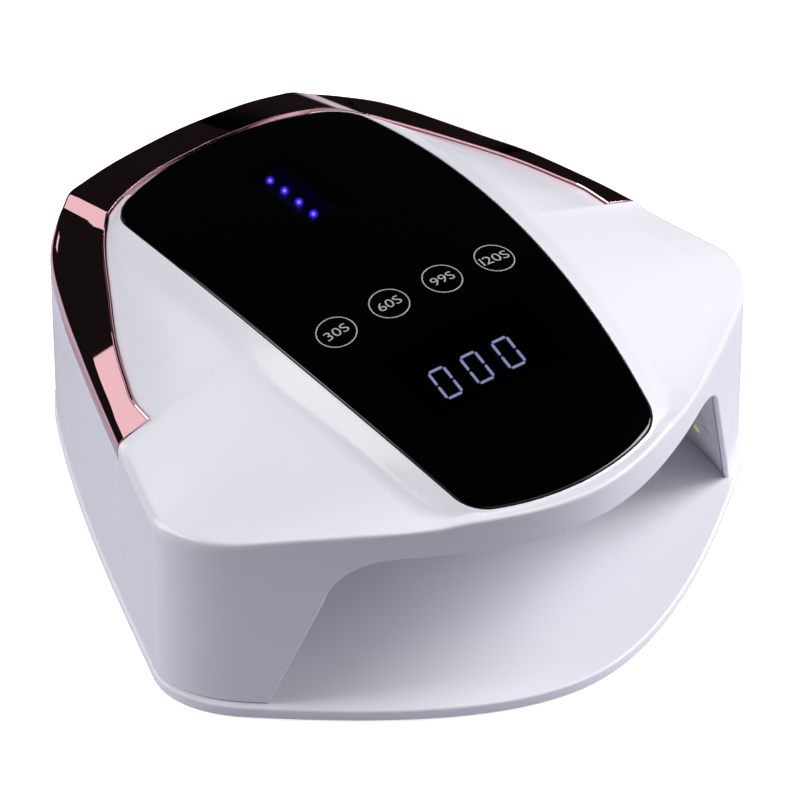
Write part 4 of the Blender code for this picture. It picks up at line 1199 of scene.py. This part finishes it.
def glow_ball(name, strength):
    """A light seen through dark glass: pale in the middle, fading to nothing."""
    mat, tree, shader = base_material(name)
    facing = tree.nodes.new('ShaderNodeLayerWeight')
    facing.inputs["Blend"].default_value = 0.5
    fade = tree.nodes.new('ShaderNodeValToRGB')
    stops = [(0.0, (0.85, 0.52, 1.0)), (0.02, (0.34, 0.17, 1.0)), (0.09, (0.06, 0.03, 1.0)),
             (0.30, (0.012, 0.006, 0.36)), (0.62, (0.002, 0.001, 0.05)), (1.0, (0.0, 0.0, 0.0))]
    ramp_stops = fade.color_ramp.elements
    while len(ramp_stops) < len(stops):
        ramp_stops.new(0.5)
    for stop, (place, colour) in zip(ramp_stops, stops):
        stop.position = place
        stop.color = (*colour, 1)
    tree.links.new(facing.outputs["Facing"], fade.inputs[0])
    tree.links.new(fade.outputs[0], shader.inputs["Emission Color"])
    shader.inputs["Base Color"].default_value = (0, 0, 0, 1)
    shader.inputs["Emission Strength"].default_value = strength
    shader.inputs["Specular IOR Level"].default_value = 0.0
    return mat


WHITE = moulded("gloss_white_shell", (0.79, 0.79, 0.86), 0.22, coat=0.2, dust=0.01)
TRAY_WHITE = moulded("satin_white_tray", (0.85, 0.85, 0.92), 0.34, spread=0.08, dust=0.02)
LINER_WHITE = moulded("reflector_white", (0.84, 0.84, 0.90), 0.4, spread=0.08)
ROSE = plated("rose_gold_plating", (0.95, 0.56, 0.61), (0.93, 0.52, 0.57), 0.03)
BLACK = moulded("black_acrylic", (0.0004, 0.0004, 0.0005), 0.05, spread=0.02, ripple=0.004,
                dust=0.0)
SMOKED = smoked("smoked_window")
PRINT = moulded("grey_print", (0.36, 0.36, 0.355), 0.5)
DIGIT_GLOW = glowing("display_glow", (0.44, 0.50, 0.80), (0.36, 0.41, 0.68), 31.0)
BLUE_GLOW = glow_ball("battery_glow", 50.0)
# Painted glow: a lit blue sheet stands in for the battery lights' spilled light and halo.
PAINTED_LED_GLOW = glowing("battery_painted_glow", (0.005, 0.004, 0.10), (0.001, 0.001, 0.03), 4.5, 120.0)
BOARD = moulded("green_board", (0.02, 0.16, 0.07), 0.4, drift=0.4, grain=1500.0)
LED_BOARD = moulded("white_board", (0.75, 0.75, 0.72), 0.45)
STEEL = moulded("nickel_steel", (0.60, 0.60, 0.61), 0.28, spread=0.15, metallic=1.0)
RUBBER = moulded("grey_rubber", (0.09, 0.09, 0.09), 0.75, spread=0.2, ripple=0.3, dust=0.3)
CELL = moulded("battery_sleeve", (0.05, 0.22, 0.45), 0.3, drift=0.1)
DARK = moulded("dark_plastic", (0.02, 0.02, 0.022), 0.42, spread=0.15, ripple=0.25)
DARK_GLOSS = moulded("dark_window", (0.006, 0.006, 0.008), 0.3, dust=0.0)
YELLOW = glowing("led_phosphor", (0.80, 0.78, 0.08), (0.70, 0.62, 0.04), 0.4, 1200.0)


# ------------------------------------------------------------------ build
housing = make_housing(WHITE)
trim = make_trim(ROSE)
panel = make_panel(BLACK, SMOKED)
tray = make_tray(TRAY_WHITE)
liner = make_liner(LINER_WHITE)


# Draws the narrow 1 up to the next figure.
ONE_KERNING = -12


def make_label(text, x, y, width, height):
    """Button lettering, made a mesh and laid on the roof."""
    data = bpy.data.curves.new("label", 'FONT')
    data.body = text
    data.size = 1.0
    if text.startswith("1"):
        data.body_format[0].kerning = ONE_KERNING
    data.align_x = 'CENTER'
    data.extrude = 0.004
    data.offset = -0.004
    made = linked("label", data)
    mesh = settled_mesh(made)
    bpy.data.objects.remove(made, do_unlink=True)
    bm = bmesh.new()
    bm.from_mesh(mesh)
    bmesh.ops.remove_doubles(bm, verts=bm.verts, dist=0.0001)
    points = np.array([v.co for v in bm.verts])
    low, high = points.min(0), points.max(0)
    for v in bm.verts:
        px = ((v.co.x - low[0]) / (high[0] - low[0]) - 0.5) * width + x
        py = ((v.co.y - low[1]) / (high[1] - low[1]) - 0.5) * height + y
        top = 0.035 if v.co.z > 0 else 0.005
        v.co = (px * MM, py * MM, (roof_height(px, py) + top) * MM)
    return piece_from("label_" + text, bm, [PRINT], smooth_angle=20)


labels = [make_label(text, x, BUTTON_Y, LONG_LABEL_WIDTH if len(text) > 3 else LABEL_WIDTH,
                     LABEL_HEIGHT) for text, x in zip(BUTTON_TIMES, BUTTON_X)]
rings = grown("button_rings", ring_tree(PRINT), [(x, BUTTON_Y, 0) for x in BUTTON_X])


def digit_segments():
    """Points and turns of the six lit bars in each of three zeros."""
    centre = centre_of("display_module")
    half_w, half_h = DIGIT_HALF_WIDTH, DIGIT_HALF_HEIGHT
    slant = math.tan(math.radians(DIGIT_SLANT))
    tilt = math.atan(DISPLAY_SLOPE)
    points, turns = [], []
    for k in (-1, 0, 1):
        for dx, dy, upright in ((-half_w, half_h / 2, 1), (-half_w, -half_h / 2, 1),
                                (half_w, half_h / 2, 1), (half_w, -half_h / 2, 1),
                                (0, half_h, 0), (0, -half_h, 0)):
            x = k * DIGIT_PITCH + dx + dy * slant
            y = dy * math.cos(tilt)
            z = dy * math.sin(tilt)
            points.append((centre.x + x - 0.6, centre.y + y - 0.9, DISPLAY_TOP + z - 0.1))
            turn = Matrix.Rotation(tilt, 3, 'X')
            if upright:
                turn = turn @ Matrix.Rotation(math.radians(90 - DIGIT_SLANT), 3, 'Z')
            turns.append(tuple(turn.to_euler()))
    return points, turns


seg_points, seg_turns = digit_segments()
digits = grown("display_digits", bar_tree(DIGIT_GLOW), seg_points,
               {"Length": 5.3 * MM, "Width": 0.88 * MM, "Depth": 0.15 * MM}, seg_turns)
battery_lights = grown("battery_lights", bead_tree(BLUE_GLOW, "light_beads"), BATTERY_SPOTS,
                       {"Radius": 1.8 * MM, "Rise": 1.0}, [(0.0, 0.0, 0.0)] * len(BATTERY_SPOTS))
# A glowing sheet under the battery window: painted glow of the battery lights' spilled light, not a
# lamp.
haze = block("battery_painted_glow", (5.0, 31, 0.2), (5.0, 50.3, 89.6), [PAINTED_LED_GLOW], bevel=0.08,
             turn_x=-0.1)
screen = block("display_screen", (48, 19, 0.2), (0, -52.3, 90.12), [DARK_GLOSS], bevel=0.08,
               turn_x=0.143)


def led_places():
    """Where the LED windows sit on the reflector, and how they face."""
    spots, turns = [], []
    for y in ROOF_LED_ROWS:
        for x in ROOF_LED_COLUMNS:
            z = ARCH[-1][1] + LINER_MARGIN - 0.02 * abs(x)
            spots.append((x, y, z - (0.7 if abs(x) > 40 else 0.2)))
            turns.append((math.pi, 0.0, 0.0))
    (x0, z0), (x1, z1) = ARCH[1], ARCH[2]
    lean = math.atan2(x0 - x1, z1 - z0)
    leg = [arch_point(t, LINER_MARGIN) for t in np.linspace(80, ARCH_TRACK.length, 400)]
    for side in (1, -1):
        for k, y in enumerate(WALL_LED_ROWS):
            z = WALL_LED_HEIGHTS[k % 2]
            x = min(leg, key=lambda p: abs(p[1] - z))[0]
            spots.append((side * x, y, z))
            turns.append((0.0, -side * (math.pi / 2 + lean), 0.0))
    for x in REAR_LED_COLUMNS:
        for z in REAR_LED_HEIGHTS:
            spots.append((x, REAR_LED_Y, z))
            turns.append((math.pi / 2, 0.0, 0.0))
    return spots, turns


led_spots, led_turns = led_places()
roof_leds = len(ROOF_LED_ROWS) * len(ROOF_LED_COLUMNS)
cups = grown("led_cups", cup_tree(LINER_WHITE), led_spots[:roof_leds],
             {"Radius": 2.4 * MM, "Lip": 0.35 * MM}, led_turns[:roof_leds])
beads = grown("led_beads", bead_tree(YELLOW, "led_beads"), led_spots,
              {"Radius": 1.9 * MM, "Rise": 0.35}, led_turns)

# ------------------------------------------------------------------ rear fittings
inlet_mid = centre_of("charging_inlet")
inlet_ring = turned("inlet_ring", INLET_RING, (inlet_mid.x, INLET_RING_Y, inlet_mid.z), [STEEL],
                    along_y=True)

# ------------------------------------------------------------------ bodies and slots
# Each piece with its body, its material slot and the frame nodes that it stands for.
pieces = [
    (housing, "housing", "gloss_white_abs", ["outer_shell"]),
    (trim, "housing", "rose_gold_plating", ["rose_gold_trim"]),
    (panel, "housing", "black_acrylic", ["touch_panel"]),
    (tray, "tray", "tray_white_abs", ["base_tray"]),
    (liner, "housing", "reflector_white", ["reflector_liner"]),
    (rings, "housing", None, []),
    (digits, "housing", None, []),
    (battery_lights, "housing", None, []),
    (haze, "housing", None, []),
    (screen, "housing", None, []),
    (cups, "housing", "reflector_white", []),
    (beads, "housing", None, []),
    (inlet_ring, "housing", "nickel_steel", []),
]
pieces += [(label, "housing", None, []) for label in labels]
for made, body, slot, nodes in pieces:
    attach(made, body)
    if nodes:
        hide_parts(*nodes)

SLOT_LOOKS = {
    "gloss_white_abs": WHITE, "tray_white_abs": TRAY_WHITE, "reflector_white": LINER_WHITE,
    "rose_gold_plating": ROSE, "black_acrylic": BLACK, "circuit_board": BOARD,
    "led_board_white": LED_BOARD, "nickel_steel": STEEL, "grey_rubber": RUBBER,
    "battery_sleeve": CELL, "dark_plastic": DARK, "display_face": DARK_GLOSS,
}
for row in frame["record"]["subparts"]:
    node = frame["nodes"][row["node"]]
    node.data.materials.clear()
    node.data.materials.append(SLOT_LOOKS[row["material_slot"]])

# ------------------------------------------------------------------ studio
FLOOR_GIVES = 0.6
FLOOR_GLOW = 0.8
FLOOR_NEAR, FLOOR_FAR = 0.30, 0.42
FLOOR_SIZE, FLOOR_DROP = 6.0, 0.0002
WORLD_LEVEL = 0.008
LAMP_MIDDLE = (0.0, 0.0, 0.05)
WIDE = (0.70, 0.70)
# Each light's name, place, aim, size and power.
LIGHTS = [
    ("right_high", (1.01, -0.37, 0.90), LAMP_MIDDLE, WIDE, 17.0),
    ("left_back_low", (-1.09, 0.76, 0.43), LAMP_MIDDLE, WIDE, 6.3),
    ("left_back_high", (-0.86, 0.50, 0.99), LAMP_MIDDLE, WIDE, 7.0),
    ("left_high", (-0.94, 0.0, 1.04), LAMP_MIDDLE, WIDE, 1.4),
    ("front_high", (0.0, -0.90, 1.07), LAMP_MIDDLE, WIDE, 1.3),
    ("front_right_high", (0.64, -0.64, 1.07), LAMP_MIDDLE, WIDE, 2.3),
    ("front_right_low", (0.93, -0.93, 0.48), LAMP_MIDDLE, WIDE, 3.3),
    ("back_card", (-0.03, 1.26, 0.365), (-0.05, 0.1, 0.07), (0.16, 0.14), 0.062),
    ("back_high", (-0.30, 1.03, 1.10), (-0.09, 0.0, 0.07), (0.60, 0.50), 0.85),
]


def add_floor():
    """A plain pale floor.  Away from the object it gives the gloss nothing back."""
    bm = bmesh.new()
    bmesh.ops.create_grid(bm, x_segments=2, y_segments=2, size=FLOOR_SIZE)
    mat, tree, shader = base_material("pale_floor")
    seen = tree.nodes.new('ShaderNodeLightPath').outputs["Is Camera Ray"]
    grain = tree.nodes.new('ShaderNodeTexNoise')
    grain.inputs["Scale"].default_value = 3.0
    place = tree.nodes.new('ShaderNodeTexCoord').outputs["Object"]
    reach = tree.nodes.new('ShaderNodeVectorMath')
    reach.operation = 'LENGTH'
    tree.links.new(place, reach.inputs[0])
    near = tree.nodes.new('ShaderNodeMapRange')
    near.inputs["From Min"].default_value = FLOOR_NEAR
    near.inputs["From Max"].default_value = FLOOR_FAR
    near.inputs["To Min"].default_value = 1.0
    near.inputs["To Max"].default_value = 0.0
    tree.links.new(reach.outputs["Value"], near.inputs["Value"])
    pale = colour_mix(tree, grain.outputs[0], (0.95, 0.95, 0.955), (0.97, 0.97, 0.97))
    given = colour_mix(tree, near.outputs[0], (0.01, 0.01, 0.01),
                       (FLOOR_GIVES * 0.96, FLOOR_GIVES * 0.96, FLOOR_GIVES * 1.12))
    tree.links.new(colour_mix(tree, seen, given, pale), shader.inputs["Base Color"])
    tree.links.new(colour_mix(tree, seen, (0, 0, 0), (1, 1, 1)), shader.inputs["Emission Color"])
    shader.inputs["Emission Strength"].default_value = FLOOR_GLOW
    shader.inputs["Roughness"].default_value = 0.8
    shader.inputs["Specular IOR Level"].default_value = 0.0
    floor = piece_from("floor", bm, [mat])
    floor.location.z = -FLOOR_DROP


def softbox(name, place, aim, size, power):
    """A soft rectangular light, turned towards its aim."""
    data = bpy.data.lights.new(name, 'AREA')
    data.shape = 'RECTANGLE'
    data.size, data.size_y = size
    data.energy = power
    light = linked(name, data)
    light.location = place
    light.rotation_mode = 'QUATERNION'
    light.rotation_quaternion = (Vector(aim) - Vector(place)).to_track_quat('-Z', 'Y')


def add_world():
    """Pale behind the object, but dim for what the gloss reflects."""
    world = bpy.data.worlds.new("studio")
    bpy.context.scene.world = world
    world.use_nodes = True
    tree = world.node_tree
    sky = tree.nodes["Background"]
    seen = tree.nodes.new('ShaderNodeLightPath').outputs["Is Camera Ray"]
    tree.links.new(colour_mix(tree, seen, (WORLD_LEVEL,) * 3, (1.0, 1.0, 1.0)), sky.inputs[0])


add_floor()
for light_row in LIGHTS:
    softbox(*light_row)
add_world()
bpy.context.scene.view_settings.view_transform = 'Standard'
